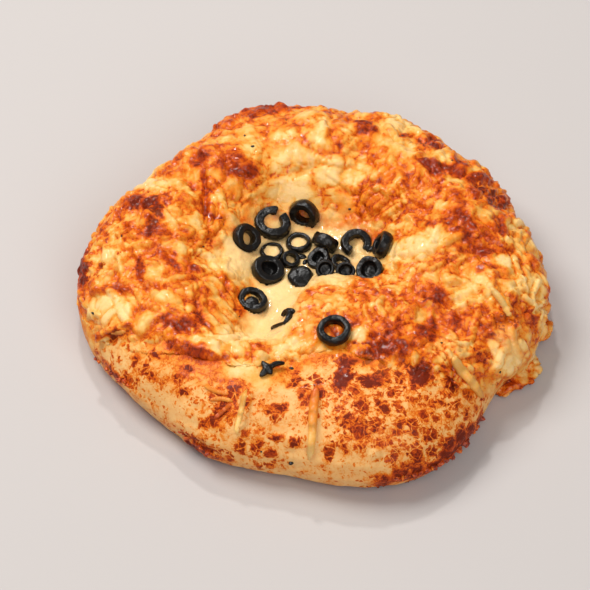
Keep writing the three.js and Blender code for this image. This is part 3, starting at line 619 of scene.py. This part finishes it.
# Where fat soaked in and left the cheese amber and glossy, and how much.
OILY = [
    (216, 218, 14, 12, 0, 1.0), (230, 180, 18, 14, 0, 0.6), (352, 205, 26, 14, 0, 0.7),
    (395, 180, 24, 14, -10, 0.6), (460, 232, 14, 12, 0, 0.7), (480, 262, 16, 10, 0, 0.7),
    (380, 350, 30, 14, 12, 0.7), (415, 345, 16, 8, 30, 0.6), (330, 340, 40, 16, 0, 0.4),
    (500, 320, 12, 10, 0, 0.5), (112, 290, 22, 6, 0, 0.5), (170, 330, 20, 14, 0, 0.4),
]
print("island marks:", len(ISLANDS), "crust marks:", len(CRUST_TONES), "oily marks:", len(OILY))

# %% The rule that cheese and crust share
def baking(points):
    """The points shifted for wandering edges, and bareness, bake, islands, freckles and fat for each."""
    edged = bent(bent(points, 7, 1.8, seed=41), 2.4, 0.7, seed=44)
    bare = ramp(below_crust_line(points), -9, 13)
    # Lower on the loaf the bake is browner and more orange, with more islands: partly real browning towards
    # the tray, partly painted warm shade on the lower walls.
    low = ramp(7.5 - points[:, 2] + 3 * cloud(points, 13, 2, seed=48), 0, 7)
    slow, quick = cloud(points, 16, 2, seed=51), cloud(points, 4.8, 3, seed=52)
    bake = 0.46 - 0.22 * bare + (0.15 - 0.07 * bare) * slow + (0.20 - 0.06 * bare) * quick
    bake += 0.72 * add_marks(edged, BROWNED) + add_marks(edged, PALE) + 0.8 * add_marks(edged, CRUST_TONES)
    bake += low * (0.10 + 0.25 * np.clip(quick, 0, 1))
    mottle = add_marks(edged, ISLANDS) + 0.25 * low + 0.18 * bare
    freckles = np.clip(0.35 + 0.5 * bare + 0.6 * cloud(points, 9, 2, seed=55), 0, 1)
    oil = np.clip(add_marks(edged, OILY) + 0.5 * cloud(points, 12, 2, seed=61), 0, 1) * (1 - 0.8 * bare)
    return edged, bare, bake, np.clip(mottle, 0, 1), freckles, oil


# %% The cheese's own share
# Each strand keeps its own shade, and toasted knobs and what stands proud are browner. The rest is painted
# shade and light: creases are browner and the tops of lumps paler than what is round them.
points = points_of(cheese)
level = spread(cheese, points, 40)
proud = ((points - level) * normals).sum(axis=1)
print("proud:", np.round(np.percentile(proud, (2, 50, 98)), 2))
edged, bare, bake, mottle, freckles, oil = baking(points)
# Painted shade: the creases between pillows, beside ribs and between knobs are browner. Painted light: the
# tops of pillows and knobs are paler.
crease_shade = (1 - ramp(pillows, 0.05, 0.5)) * ramp(cloud(points, 11, 2, seed=53), -0.2, 0.3)
toasted = np.clip(add_marks(edged, TOASTED), 0, 1)
lumps = (0.24 * rib_crease * (1 - rib_rise) + 0.20 * rib_shade) * soft_ribs
lumps += 0.24 * crease_shade - 0.22 * ramp(pillows, 0.6, 0.95) - 0.14 * ramp(knobs, 0.45, 0.85)
lumps += 0.26 * (1 - ramp(knobs, 0.08, 0.4)) * ramp(cloud(points, 8, 2, seed=54), -0.15, 0.25)
bake += lumps * (1 - in_pool) * (1 - 0.6 * bare) * (1 - 0.6 * toasted)
bake += toasted * (0.30 * ramp(knobs, 0.5, 0.85) - 0.06) + 0.05 * np.clip(proud, -1.2, 1.2) - 0.12 * in_pool
bake = np.clip(bake, 0, 0.88)
print("cheese bake:", np.round(np.percentile(bake, (5, 50, 95)), 2))

# %% [markdown]
# ## Fields kept with the net
#
# The material can only read what is stored on the piece, so each field becomes an attribute of its points.
# The side of the cheese that lies in the bread, where nothing sees it, is thinned once it has its fields.

# %% Storing fields, and thinning
def store(piece, **fields):
    """Keeps fields on the piece under their names."""
    for name, values in fields.items():
        layer = piece.data.attributes.new(name, "FLOAT", "POINT")
        layer.data.foreach_set("value", values.astype(np.float32))


def thin_hidden(piece, hidden, keep):
    """Collapses most of the triangles that nothing sees, and leaves the rest as they are."""
    group = piece.vertex_groups.new(name="hidden")
    group.add(np.flatnonzero(hidden).tolist(), 1.0, "REPLACE")
    thin = piece.modifiers.new("thin", "DECIMATE")
    thin.vertex_group = "hidden"
    thin.ratio = keep
    thin.use_collapse_triangulate = True
    apply_modifiers(piece)
    piece.vertex_groups.clear()


# %% The cheese's fields, and its hidden side
# Creamy spots besides the pool, and how creamy. Right round the olives in the pool the cheese is painted
# darker and greyer.
MILKY = [(505, 352, 16, 26, 15, 0.4), (446, 346, 16, 16, 10, 0.3), (356, 334, 7, 6, 0, 0.8)]
milk = np.clip(in_pool + add_marks(edged, MILKY), 0, 1)
wet = np.exp(-np.square(olive_gap / 1.1)) * in_pool
store(cheese, bake=bake, mottle=mottle * (1 - milk), freckles=freckles * (1 - milk))
store(cheese, bare=bare, oil=oil, milk=milk, wet=wet)
hidden = nearest(bread_tree, points)[:, 1] < -0.5
share = hidden.mean()
thin_hidden(cheese, hidden, 1 - 0.92 * share)
print("cheese: hidden share", round(share, 2), "faces kept", len(cheese.data.polygons))

# %% [markdown]
# ## The bare crust
#
# The front and the lower wall show the bread itself: a smooth pale skin with shallow dents, wrinkles
# towards the base and a lip where the dough folded over as it was set down. Along the base cheese ran
# out and crisped to a frill. The solid is remeshed and moved the same way.

# %% Blisters, folds and frills of the crust
# Pixel, half sizes in pixels, turn in degrees, and height in millimetres.
CRUST_FORMS = [
    (343, 374, 8, 14, -18, 0.35), (418, 375, 12, 10, 0, 0.35), (291, 439, 7, 7, 0, 0.9),
    (374, 449, 4.5, 5, 0, 0.8), (276, 434, 4, 4, 0, 0.35), (245, 431, 3, 3, 0, 0.3),
    (150, 411, 42, 3, -40, -1.3), (146, 402, 40, 5, -40, 0.5), (196, 440, 26, 3, -26, -1.2),
    (196, 430, 26, 5, -26, 0.4), (120, 382, 26, 3, -48, -0.9), (455, 440, 30, 3, 42, 0.5),
    (270, 460, 40, 3, -8, -0.3),
]

# Where the frill stands out, and how far.
FRILLS = [
    (462, 446, 40, 12, 42, 1.0), (400, 474, 44, 10, 12, 1.0), (486, 412, 10, 14, 50, 0.9),
    (150, 412, 70, 10, -42, 0.4),
]
print("crust forms:", len(CRUST_FORMS), "frills:", len(FRILLS))

# %% The bread as an even net, with its relief
CRUST_NET = 0.95 * MM
bread = make_piece(merged_copy("bread"), "crust")
remesh(bread, CRUST_NET)
even_out(bread, 8)
points = points_of(bread)
normals = normals_of(bread)
standing = ramp(points[:, 2], 0.3, 3.0)
relief = 0.35 * cloud(points, 11, 2, seed=71) + 0.12 * cloud(points, 3, 3, seed=72)
relief += add_marks(bent(points, 5, 0.7, seed=73), CRUST_FORMS)
wrinkle = np.abs(cloud(points * (1, 1, 2.4), 9, 2, seed=75))
relief -= 0.5 * (1 - ramp(wrinkle, 0.0, 0.12)) * ramp(13 - points[:, 2], 0, 8)
frill = add_marks(points, FRILLS) * np.exp(-np.square((points[:, 2] - 1.6) / 1.3))
relief = relief * standing + frill * np.clip(0.5 + 2.2 * cloud(points, 2.2, 2, seed=76), 0, 2.2)
points = points + normals * relief[:, None]
points[:, 2] = np.maximum(points[:, 2], 0)
move_points(bread, points)
print("crust:", len(bread.data.vertices), "in the net")

# %% The crust's own share
_, bare, bake, mottle, freckles, oil = baking(points)
underneath = ramp(1.2 - points[:, 2], 0, 1)
bake = np.clip(bake + 0.3 * underneath + 0.35 * np.clip(frill, 0, 1), 0, 0.95)
nothing = np.zeros(len(points))
store(bread, bake=bake, mottle=mottle, freckles=freckles, bare=bare, oil=oil, milk=nothing, wet=nothing)
print("crust bake:", np.round(np.percentile(bake, (5, 50, 95)), 2))

# %% [markdown]
# ## The olives
#
# Each slice is cut from its own solid: merged, rounded by a subdivision surface, and made a little uneven,
# as soft fruit is after baking. One piece stands for one slice.

# %% Olive slices
def make_olive(node, number):
    """The slice for one solid, with a field for the film of cheese where it touches."""
    shape = merged_copy(node)
    crease = shape.edges.layers.float.new("crease_edge")
    for edge in shape.edges:
        edge[crease] = 0.5 * ramp(math.degrees(edge.calc_face_angle(0)), 42, 60)
    olive = make_piece(shape, node.replace("olive", "olive_slice"))
    smoother = olive.modifiers.new("round", "SUBSURF")
    smoother.levels = smoother.render_levels = 3
    apply_modifiers(olive)
    points = points_of(olive)
    normals = normals_of(olive)
    dents = 0.22 * cloud(points, 3.0, 2, seed=100 + number)
    dents += 0.07 * cloud(points, 0.9, 2, seed=130 + number)
    move_points(olive, points + normals * (dents + 0.22)[:, None])
    touch = 0.9 - nearest(top_tree, points)[:, 0] + 0.5 * cloud(points, 1.6, 2, seed=160 + number)
    store(olive, film=ramp(touch, 0.3, 1.0))
    return olive


olives = [make_olive(node, number) for number, node in enumerate(OLIVE_NODES)]
print("olives:", len(olives), "faces:", sum(len(olive.data.polygons) for olive in olives))

# %% [markdown]
# ## Loose strands and crumbs
#
# Some strands of cheese never melted in. Each is a tube drawn ring by ring along a path on the surface,
# thinner at its ends and lifted by its own amount, so that some lie half sunk and others loose. Dark
# olive crumbs lie between them, and crumbs of burnt cheese along the base, where it met the tray.

# %% The finished surface that strands and crumbs lie on
skin = bmesh.new()
skin.from_mesh(cheese.data)
skin.from_mesh(bread.data)
skin_tree = BVHTree.FromBMesh(skin)
skin.free()
print("front of the crust:", np.round(spot_on(skin_tree, 313, 440), 1), "mm")


# %% A strand along the surface
def add_strand(shape, path, width, thick, tones):
    """A strand through these spots, each with its normal: a closed tube, thinner at both ends."""
    layer = shape.verts.layers.float["bake"]
    lid = bmesh.ops.create_circle(shape, cap_ends=True, radius=1, segments=10)["verts"][0].link_faces[0]
    circle = [corner.co.copy() for corner in lid.verts]
    for step, (spot, normal) in enumerate(path):
        share = step / (len(path) - 1)
        if step:
            grown = bmesh.ops.extrude_face_region(shape, geom=[lid])["geom"]
            lid = next(part for part in grown if isinstance(part, bmesh.types.BMFace))
        before, after = path[max(step - 1, 0)][0], path[min(step + 1, len(path) - 1)][0]
        aside = (after - before).cross(normal).normalized()
        size = 0.25 + 0.75 * (1 - (2 * share - 1) ** 6) ** 0.5
        size *= 1 + 0.12 * math.sin(9 * share + 3000 * spot.x)
        for corner, flat in zip(lid.verts, circle):
            corner.co = spot + (aside * flat.x * width + normal * flat.y * thick) * size
            corner[layer] = tones[0] + (tones[1] - tones[0]) * share


def path_on(spots, lift, rings=12):
    """A smooth path of even steps through spots, lifted off the surface by lift."""
    path = []
    for step in range(rings):
        reach = step / (rings - 1) * (len(spots) - 1)
        low = min(int(reach), len(spots) - 2)
        spot, normal, _, _ = skin_tree.find_nearest(spots[low].lerp(spots[low + 1], reach - low))
        path.append((spot + normal * lift, normal))
    for _ in range(4):
        evened = [path[0]]
        for before, here, after in zip(path, path[1:], path[2:]):
            normal = (before[1] + here[1] + after[1]).normalized()
            evened.append(((before[0] + here[0] * 2 + after[0]) / 4, normal))
        path = evened + [path[-1]]
    return path


# %% The strands of the photograph
FLATNESS = 0.72  # a strand's thickness as a share of its width

# Pixels along the strand, half width and lift in millimetres, and its bake at both ends.
NAMED_STRANDS = [
    ([(316, 384), (313, 408), (312, 432), (309, 456)], 1.75, 0.3, 0.62, 0.12),
    ([(248, 388), (243, 410), (238, 431)], 1.3, 0.25, 0.34, 0.16),
    ([(449, 356), (462, 374), (478, 396)], 2.0, 0.8, 0.24, 0.34),
    ([(84, 332), (104, 329), (128, 331)], 1.5, -0.1, 0.30, 0.42),
    ([(488, 288), (500, 302), (508, 316)], 1.4, 0.0, 0.15, 0.25),
    ([(206, 384), (218, 390), (230, 392)], 0.9, 0.25, 0.45, 0.5),
    ([(212, 398), (222, 396), (234, 399)], 0.9, 0.25, 0.5, 0.4),
    ([(216, 416), (224, 409), (233, 402)], 0.9, 0.25, 0.7, 0.6),
]

shape = bmesh.new()
shape.verts.layers.float.new("bake")
for pixels, half_width, lift, *tones in NAMED_STRANDS:
    spots = [Vector(spot_on(skin_tree, *pixel) * MM) for pixel in pixels]
    add_strand(shape, path_on(spots, lift * MM), half_width * MM, half_width * FLATNESS * MM, tones)
bmesh.ops.recalc_face_normals(shape, faces=shape.faces)
strands = make_piece(shape, "cheese_strands")
shade_smooth(strands)
print("strands:", len(NAMED_STRANDS), "faces:", len(strands.data.polygons))

# %% Olive crumbs and dark specks
# Pixel, and radius in millimetres.
CRUMBS = [
    (302, 257, 1.6), (305, 262, 1.2), (299, 263, 1.0), (372, 249, 1.5), (376, 253, 1.1), (252.5, 146, 0.7),
    (244.5, 135, 0.5), (291.5, 367, 0.8), (291.6, 459, 1.1), (403, 135, 0.5), (439, 342, 0.5),
    (549, 292, 1.3), (453, 147, 0.4), (497, 371, 0.5), (95, 313, 0.7), (240, 316, 0.4), (286, 119, 0.4),
    (350, 209, 0.6), (262, 448, 0.5), (204, 247, 0.4), (123, 236, 0.5),
]
shape = bmesh.new()
for number, (px, py, radius) in enumerate(CRUMBS):
    crumb = bmesh.ops.create_icosphere(shape, subdivisions=2, radius=radius * MM)["verts"]
    for corner in crumb:
        corner.co *= 1 + 0.35 * noise.noise(corner.co / (radius * MM) + Vector((number * 3, 0, 0)))
    bmesh.ops.scale(shape, verts=crumb, vec=(1.25, 0.8, 0.6))
    bmesh.ops.rotate(shape, verts=crumb, matrix=Matrix.Rotation(number * 1.3, 3, "Z"))
    bmesh.ops.translate(shape, verts=crumb, vec=Vector(spot_on(skin_tree, px, py) * MM))
crumbs = make_piece(shape, "olive_crumbs")
shade_smooth(crumbs)
print("crumbs:", len(CRUMBS))

# %% Burnt crumbs where cheese met the tray
# Runs of pixels along the base, with the number of crumbs on each and the radius of the largest.
BURNT = [
    ([(388, 475), (412, 470), (434, 461)], 12, 1.5), ([(434, 461), (462, 440), (484, 412)], 22, 2.0),
    ([(484, 412), (492, 402), (500, 393)], 7, 1.6), ([(92, 352), (108, 366), (134, 384)], 12, 1.2),
    ([(176, 424), (192, 438), (208, 448)], 10, 1.3), ([(549, 290), (550, 296), (549, 302)], 3, 1.3),
]
draw = random.Random(8)
shape = bmesh.new()
layer = shape.verts.layers.float.new("bake")
for pixels, count, largest in BURNT:
    spots = [Vector(spot_on(skin_tree, *pixel) * MM) for pixel in pixels]
    for number in range(count):
        reach = draw.uniform(0, 1.999)
        spot = spots[int(reach)].lerp(spots[int(reach) + 1], reach % 1)
        spot = skin_tree.find_nearest(spot + Vector((draw.gauss(0, 1), draw.gauss(0, 1), 0)) * MM)[0]
        radius = largest * draw.uniform(0.5, 1) * MM
        crumb = bmesh.ops.create_icosphere(shape, subdivisions=3, radius=radius)["verts"]
        tone = draw.uniform(0.62, 0.95)
        for corner in crumb:
            place = corner.co / radius
            corner.co *= 1 + 0.5 * noise.noise(place * 1.3 + Vector((number * 5, count, 0)))
            corner[layer] = tone + 0.3 * noise.noise(place * 1.7)
        bmesh.ops.scale(shape, verts=crumb, vec=(1.2, 0.9, 0.6))
        turn = Matrix.Rotation(draw.uniform(0, math.tau), 3, "Z")
        lean = Matrix.Rotation(draw.uniform(-0.8, 0.8), 3, "X")
        bmesh.ops.rotate(shape, verts=crumb, matrix=turn @ lean)
        lowest = min(corner.co.z for corner in crumb)
        bmesh.ops.translate(shape, verts=crumb, vec=(spot.x, spot.y, max(spot.z, 0.1 * MM - lowest)))
burnt = make_piece(shape, "burnt_crumbs")
shade_smooth(burnt)
print("burnt crumbs:", sum(count for _, count, _ in BURNT))

# %% [markdown]
# ## Shader maths in Python
#
# A material is a net of nodes. To write one as a formula, a small class holds a socket and gives it
# Python's operators: each one adds a Math node. Every other node comes from one method, which sets the
# node's type and settings first and then its sockets.

# %% Values that a formula can use
class Value:
    """A socket that gives a number, with Python's operators on it."""

    def __init__(self, paint, socket):
        self.paint, self.socket = paint, socket

    def maths(self, operation, first, second):
        return self.paint.add("ShaderNodeMath", {"operation": operation}, {0: first, 1: second})

    def __add__(self, other):
        return self.maths("ADD", self, other)

    def __mul__(self, other):
        return self.maths("MULTIPLY", self, other)

    def __sub__(self, other):
        return self.maths("SUBTRACT", self, other)

    def __rsub__(self, other):
        return self.maths("SUBTRACT", other, self)

    __radd__ = __add__
    __rmul__ = __mul__

    def step(self, low, high):
        """0 below low, 1 above high, and a smooth step between."""
        inputs = {"Value": self, "From Min": low, "From Max": high}
        return self.paint.add("ShaderNodeMapRange", {"interpolation_type": "SMOOTHSTEP"}, inputs)


# %% A material, and the nodes it is made of
class Paint:
    """A material in the making."""

    def __init__(self, name):
        self.material = bpy.data.materials.new(name)
        self.material.use_nodes = True
        self.nodes = self.material.node_tree.nodes
        self.shader = self.nodes["Principled BSDF"]

    def add(self, kind, settings, inputs, out=0):
        """A node of this kind, with its settings and a ramp's stops first, then its sockets."""
        node = self.nodes.new(kind)
        stops = settings.pop("stops", None)
        for key, value in settings.items():
            setattr(node, key, value)
        for number, (place, shade) in enumerate(stops or ()):
            marks = node.color_ramp.elements
            stop = marks[number] if number < 2 else marks.new(place)
            stop.position, stop.color = place, shade
        for key, value in inputs.items():
            self.join(value, node.inputs[key])
        return Value(self, node.outputs[out])

    def join(self, value, socket):
        if isinstance(value, Value):
            self.material.node_tree.links.new(value.socket, socket)
        else:
            socket.default_value = value

    def field(self, name):
        return self.add("ShaderNodeAttribute", {"attribute_name": name}, {}, "Fac")

    def place(self):
        return self.add("ShaderNodeTexCoord", {}, {}, "Object")

    def noise(self, place, size, detail=3.0, roughness=0.55, out=0):
        """Noise from 0 to 1, in blots about size metres across."""
        inputs = {"Vector": place, "Scale": 1 / size, "Detail": detail, "Roughness": roughness}
        return self.add("ShaderNodeTexNoise", {}, inputs, out)

    def cells(self, place, size, feature="F1", out=0):
        """A pattern of cells about size metres across."""
        inputs = {"Vector": place, "Scale": 1 / size}
        return self.add("ShaderNodeTexVoronoi", {"feature": feature}, inputs, out)

    def bend(self, place, size, amount):
        """The place shifted by slow noise, so that a pattern on it has wandering edges."""
        shift = self.noise(place, size, 2.0, out=1)
        inputs = {0: shift, 1: (amount, amount, amount), 2: (-amount / 2, -amount / 2, -amount / 2)}
        shift = self.add("ShaderNodeVectorMath", {"operation": "MULTIPLY_ADD"}, inputs)
        return self.add("ShaderNodeVectorMath", {"operation": "ADD"}, {0: place, 1: shift})

    def mix(self, share, first, second):
        """One colour over another. Sockets 6 and 7 are the Mix node's two colours, and 2 its result."""
        inputs = {0: share, 6: first, 7: second}
        return self.add("ShaderNodeMix", {"data_type": "RGBA"}, inputs, 2)

    def set(self, **inputs):
        """Joins values to the sockets of these names on the surface's shader, and gives the material."""
        for name, value in inputs.items():
            self.join(value, self.shader.inputs[name.replace("_", " ").title()])
        return self.material


# %% Colours
def colour(red, green, blue):
    """A colour given as it is seen, from 0 to 255, as the renderer wants it."""
    seen = (red, green, blue)
    return tuple(((v / 255 + 0.055) / 1.055) ** 2.4 if v > 10 else v / 3295 for v in seen) + (1.0,)


# %% [markdown]
# ## Baked cheese and crust
#
# Both surfaces follow one scale from cream over gold and orange to red-brown and nearly burnt, because
# both brown in the same heat. What differs is how it is laid out: the cheese in soft blots and flecks on
# its proud places, the crust in small islands with cream lines between them. Fat gives small glints,
# and fainter ones on the crust.

# %% The baked finish
BAKED = [
    (0.00, colour(252, 210, 142)), (0.14, colour(244, 196, 116)), (0.30, colour(238, 170, 76)),
    (0.45, colour(233, 138, 38)), (0.60, colour(220, 100, 12)), (0.74, colour(186, 68, 6)),
    (0.88, colour(152, 46, 3)), (1.00, colour(112, 30, 2)),
]
REDDENING = (1.0, 0.45, 0.15)  # how much further red light goes in than green and blue


def baked_finish(name, shine, depth):
    """Cheese or crust, with the strength of its glints and how deep light goes into it."""
    paint = Paint(name)
    place = paint.place()
    bake, mottle, freckles = paint.field("bake"), paint.field("mottle"), paint.field("freckles")
    bare, oil, milk, wet = paint.field("bare"), paint.field("oil"), paint.field("milk"), paint.field("wet")

    # Noise of several sizes, and thin lines where one of them crosses its middle.
    wander = paint.bend(place, 0.0032, 0.0024)
    blots = paint.noise(place, 0.0042, 4.0, 0.6)
    flecks = paint.noise(wander, 0.0014, 5.0, 0.68)
    grain = paint.noise(place, 0.0005, 2.0, 0.5)
    web = paint.noise(wander, 0.0036, 5.0, 0.62) - 0.5
    line = (0.0014 - web * web).step(0.0, 0.0014)

    def cell(size, channel):
        """A number from 0 to 1 for each cell, and how far inside its cell a place is."""
        number = paint.cells(wander, size, "F1", "Color")
        number = paint.add("ShaderNodeSeparateColor", {}, {"Color": number}, channel)
        return number, paint.cells(wander, size, "DISTANCE_TO_EDGE")

    # Islands fill some of the big and small cells, more of them where mottle is high. A vein runs through
    # an island, a halo lies round it, and freckles are the smallest cells.
    big_chance, big = cell(0.0070, 0)
    small_chance, small = cell(0.0034, 1)
    vein = cell(0.0038, 2)[1]
    ragged = (flecks - 0.5) * 0.20 + (blots - 0.5) * 0.14
    spots = mottle.step(0.02, 0.15)
    big_share = mottle + (big_chance - 0.5) * 0.8
    big_filled = big_share.step(0.38, 0.5)
    small_filled = (mottle + (small_chance - 0.5) * 0.9).step(0.5, 0.62)
    big_island = (big + ragged).step(0.13, 0.20) * big_filled
    small_island = (small + ragged).step(0.15, 0.23) * small_filled
    halo = (big + ragged * 1.4).step(-0.12, 0.16) * big_share.step(0.15, 0.4) * spots
    either = big_island + small_island - big_island * small_island
    island = either * (0.15 + 0.85 * (vein + ragged * 0.2).step(0.03, 0.08)) * spots
    dot_chance, dot = cell(0.0016, 1)
    dot = (dot + ragged * 0.4).step(0.1, 0.25) * dot_chance.step(0.60, 0.72) * freckles

    # How baked each place is, and its colour.
    fleck_depth = 0.14 + 0.28 * bake.step(0.45, 0.85) + 0.30 * bare
    tone = bake + (blots - 0.5) * 0.34 + (flecks - 0.5) * fleck_depth
    tone = tone + (grain - 0.5) * 0.06 + line * 0.14 * bake.step(0.25, 0.5) * (1 - milk)
    core = 0.25 + 0.14 * big.step(0.14, 0.34)
    tone = tone + halo * 0.15 + island * (core + (flecks - 0.5) * 0.6 + (big_chance - 0.5) * 0.16)
    tone = tone + dot * (0.14 + 0.14 * bare) + line * bare * 0.10
    baked = paint.add("ShaderNodeValToRGB", {"stops": BAKED}, {"Fac": tone})
    baked = paint.mix(bare * 0.55 * (1 - tone.step(0.3, 0.52)), baked, colour(240, 188, 130))
    amber = paint.mix(oil * 0.45, baked, colour(246, 136, 20))
    amber = paint.mix(bake.step(0.5, 0.8), amber, baked)
    creamy = milk * (0.25 + 0.6 * blots) * (1 - bake.step(0.25, 0.6))
    cream = paint.mix(creamy, amber, colour(252, 212, 146))
    # Darker and greyer right round the olives in the pool.
    rim_greyed = paint.mix(wet * 0.55, cream, colour(128, 112, 92))

    # Fine relief, and the glints of fat on its flecks.
    bubbles = paint.cells(wander, 0.0016, "SMOOTH_F1")
    rise = bubbles * -0.35 + blots * 0.5 + grain * 0.25 + flecks * 0.5 + island * 0.3 - line * 0.2
    bump = paint.add("ShaderNodeBump", {}, {"Height": rise, "Strength": 0.45, "Distance": 0.0006})
    rough = 0.50 - oil * 0.12 - milk * 0.06 - shine + (grain - 0.5) * 0.2 + island * 0.12
    gloss = shine * (4.2 + oil * 2.8) * flecks.step(0.44, 0.62)
    paint.shader.inputs["Specular IOR Level"].default_value = 0.14
    paint.set(subsurface_weight=depth, subsurface_radius=REDDENING, subsurface_scale=0.0012)
    return paint.set(
        base_color=rim_greyed, roughness=rough, coat_weight=gloss, coat_roughness=0.1, normal=bump,
    )


crust_paint = baked_finish("pale_baked_crust", 0.03, 0.06)
cheese_paint = baked_finish("browned_cheese", 0.14, 0.12)
print("baked finish:", len(cheese_paint.node_tree.nodes), "nodes")

# %% The strands' finish
paint = Paint("melted_strand")
place = paint.place()
blots = paint.noise(place, 0.003, 3.0)
grain = paint.noise(place, 0.0006, 2.0)
tone = paint.field("bake") + (blots - 0.5) * 0.3 + (grain - 0.5) * 0.08
bump = paint.add("ShaderNodeBump", {}, {"Height": blots + grain * 0.3, "Strength": 0.4, "Distance": 0.0004})
baked = paint.add("ShaderNodeValToRGB", {"stops": BAKED}, {"Fac": tone})
paint.set(subsurface_weight=0.2, subsurface_radius=REDDENING, subsurface_scale=0.0015)
strand_paint = paint.set(base_color=baked, roughness=0.42 + (grain - 0.5) * 0.2, normal=bump)
print("strand finish:", len(paint.nodes), "nodes")

# %% [markdown]
# ## Olive skin
#
# Baked black olives are matt to satin, nearly black, with a soft sheen on their round edges and here and
# there a thin smear of cheese where they lie against it.

# %% The olives' finish
paint = Paint("black_olive")
place = paint.place()
grain = paint.noise(place, 0.0009, 3.0)
blots = paint.noise(place, 0.004, 2.0)
film = paint.field("film")
skin_colour = paint.mix(blots.step(0.4, 0.7), colour(7, 6, 6), colour(15, 13, 12))
smear = film * (grain + blots * 0.6).step(0.80, 0.98) * 0.5
bump = paint.add("ShaderNodeBump", {}, {"Height": grain + blots, "Strength": 0.35, "Distance": 0.0004})
smeared = paint.mix(smear, skin_colour, colour(196, 172, 134))
paint.shader.inputs["Specular IOR Level"].default_value = 0.4
olive_paint = paint.set(base_color=smeared, roughness=0.32 + (grain - 0.5) * 0.25, normal=bump)
print("olive finish:", len(paint.nodes), "nodes")

# %% [markdown]
# ## Putting the pieces on the frame
#
# Every piece rides on the loaf's one body. The cheese, the crust and the slices stand for their solids;
# the strands and crumbs are additions.

# %% Materials and bodies
FINISHED = [
    (bread, crust_paint, "crust"), (cheese, cheese_paint, "cheese"), (strands, strand_paint, "cheese"),
    (burnt, strand_paint, "cheese"), (crumbs, olive_paint, "olive"),
    *((olive, olive_paint, "olive") for olive in olives),
]
for piece, paint, slot in FINISHED:
    piece.data.materials.clear()
    piece.data.materials.append(paint)
    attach(piece, "root")
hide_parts("bread")
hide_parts("cheese")
for olive, node in zip(olives, OLIVE_NODES):
    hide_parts(node)
print("pieces:", len(FINISHED))

# %% [markdown]
# ## Floor and light
#
# The photograph has a wide soft light high on the left. A small one behind draws the glints, a weaker wide
# one in front opens the shadows, and a bright room lies round it all. The floor is plain and pale.

# %% The floor and the lights
shape = bmesh.new()
bmesh.ops.create_grid(shape, x_segments=1, y_segments=1, size=3)
floor = make_piece(shape, "floor")
paint = Paint("pale_floor")
floor.data.materials.append(paint.set(base_color=colour(196, 191, 189), roughness=0.9))


def add_light(name, place, size, power, tint):
    """A round area light that faces the loaf."""
    light = bpy.data.objects.new(name, bpy.data.lights.new(name, "AREA"))
    bpy.context.scene.collection.objects.link(light)
    light.data.shape, light.data.size = "DISK", size
    light.data.energy, light.data.color = power, tint
    light.location = place
    light.rotation_mode = "QUATERNION"
    light.rotation_quaternion = Vector(place).to_track_quat("Z", "Y")
    print("light:", name, power, "watts,", size, "metres across")


add_light("key", (-0.75, 0.35, 1.35), 0.9, 18, (1.0, 0.98, 0.95))
add_light("spark", (-0.15, 0.9, 1.3), 0.12, 6, (1.0, 0.99, 0.97))
add_light("fill", (0.5, -1.15, 1.25), 1.4, 13, (1.0, 0.98, 0.96))
world = bpy.data.worlds.new("room")
bpy.context.scene.world = world
world.use_nodes = True
room = world.node_tree.nodes["Background"]
room.inputs["Color"].default_value = (1.0, 0.965, 0.93, 1.0)
room.inputs["Strength"].default_value = 0.28
bpy.context.scene.view_settings.view_transform = "Standard"
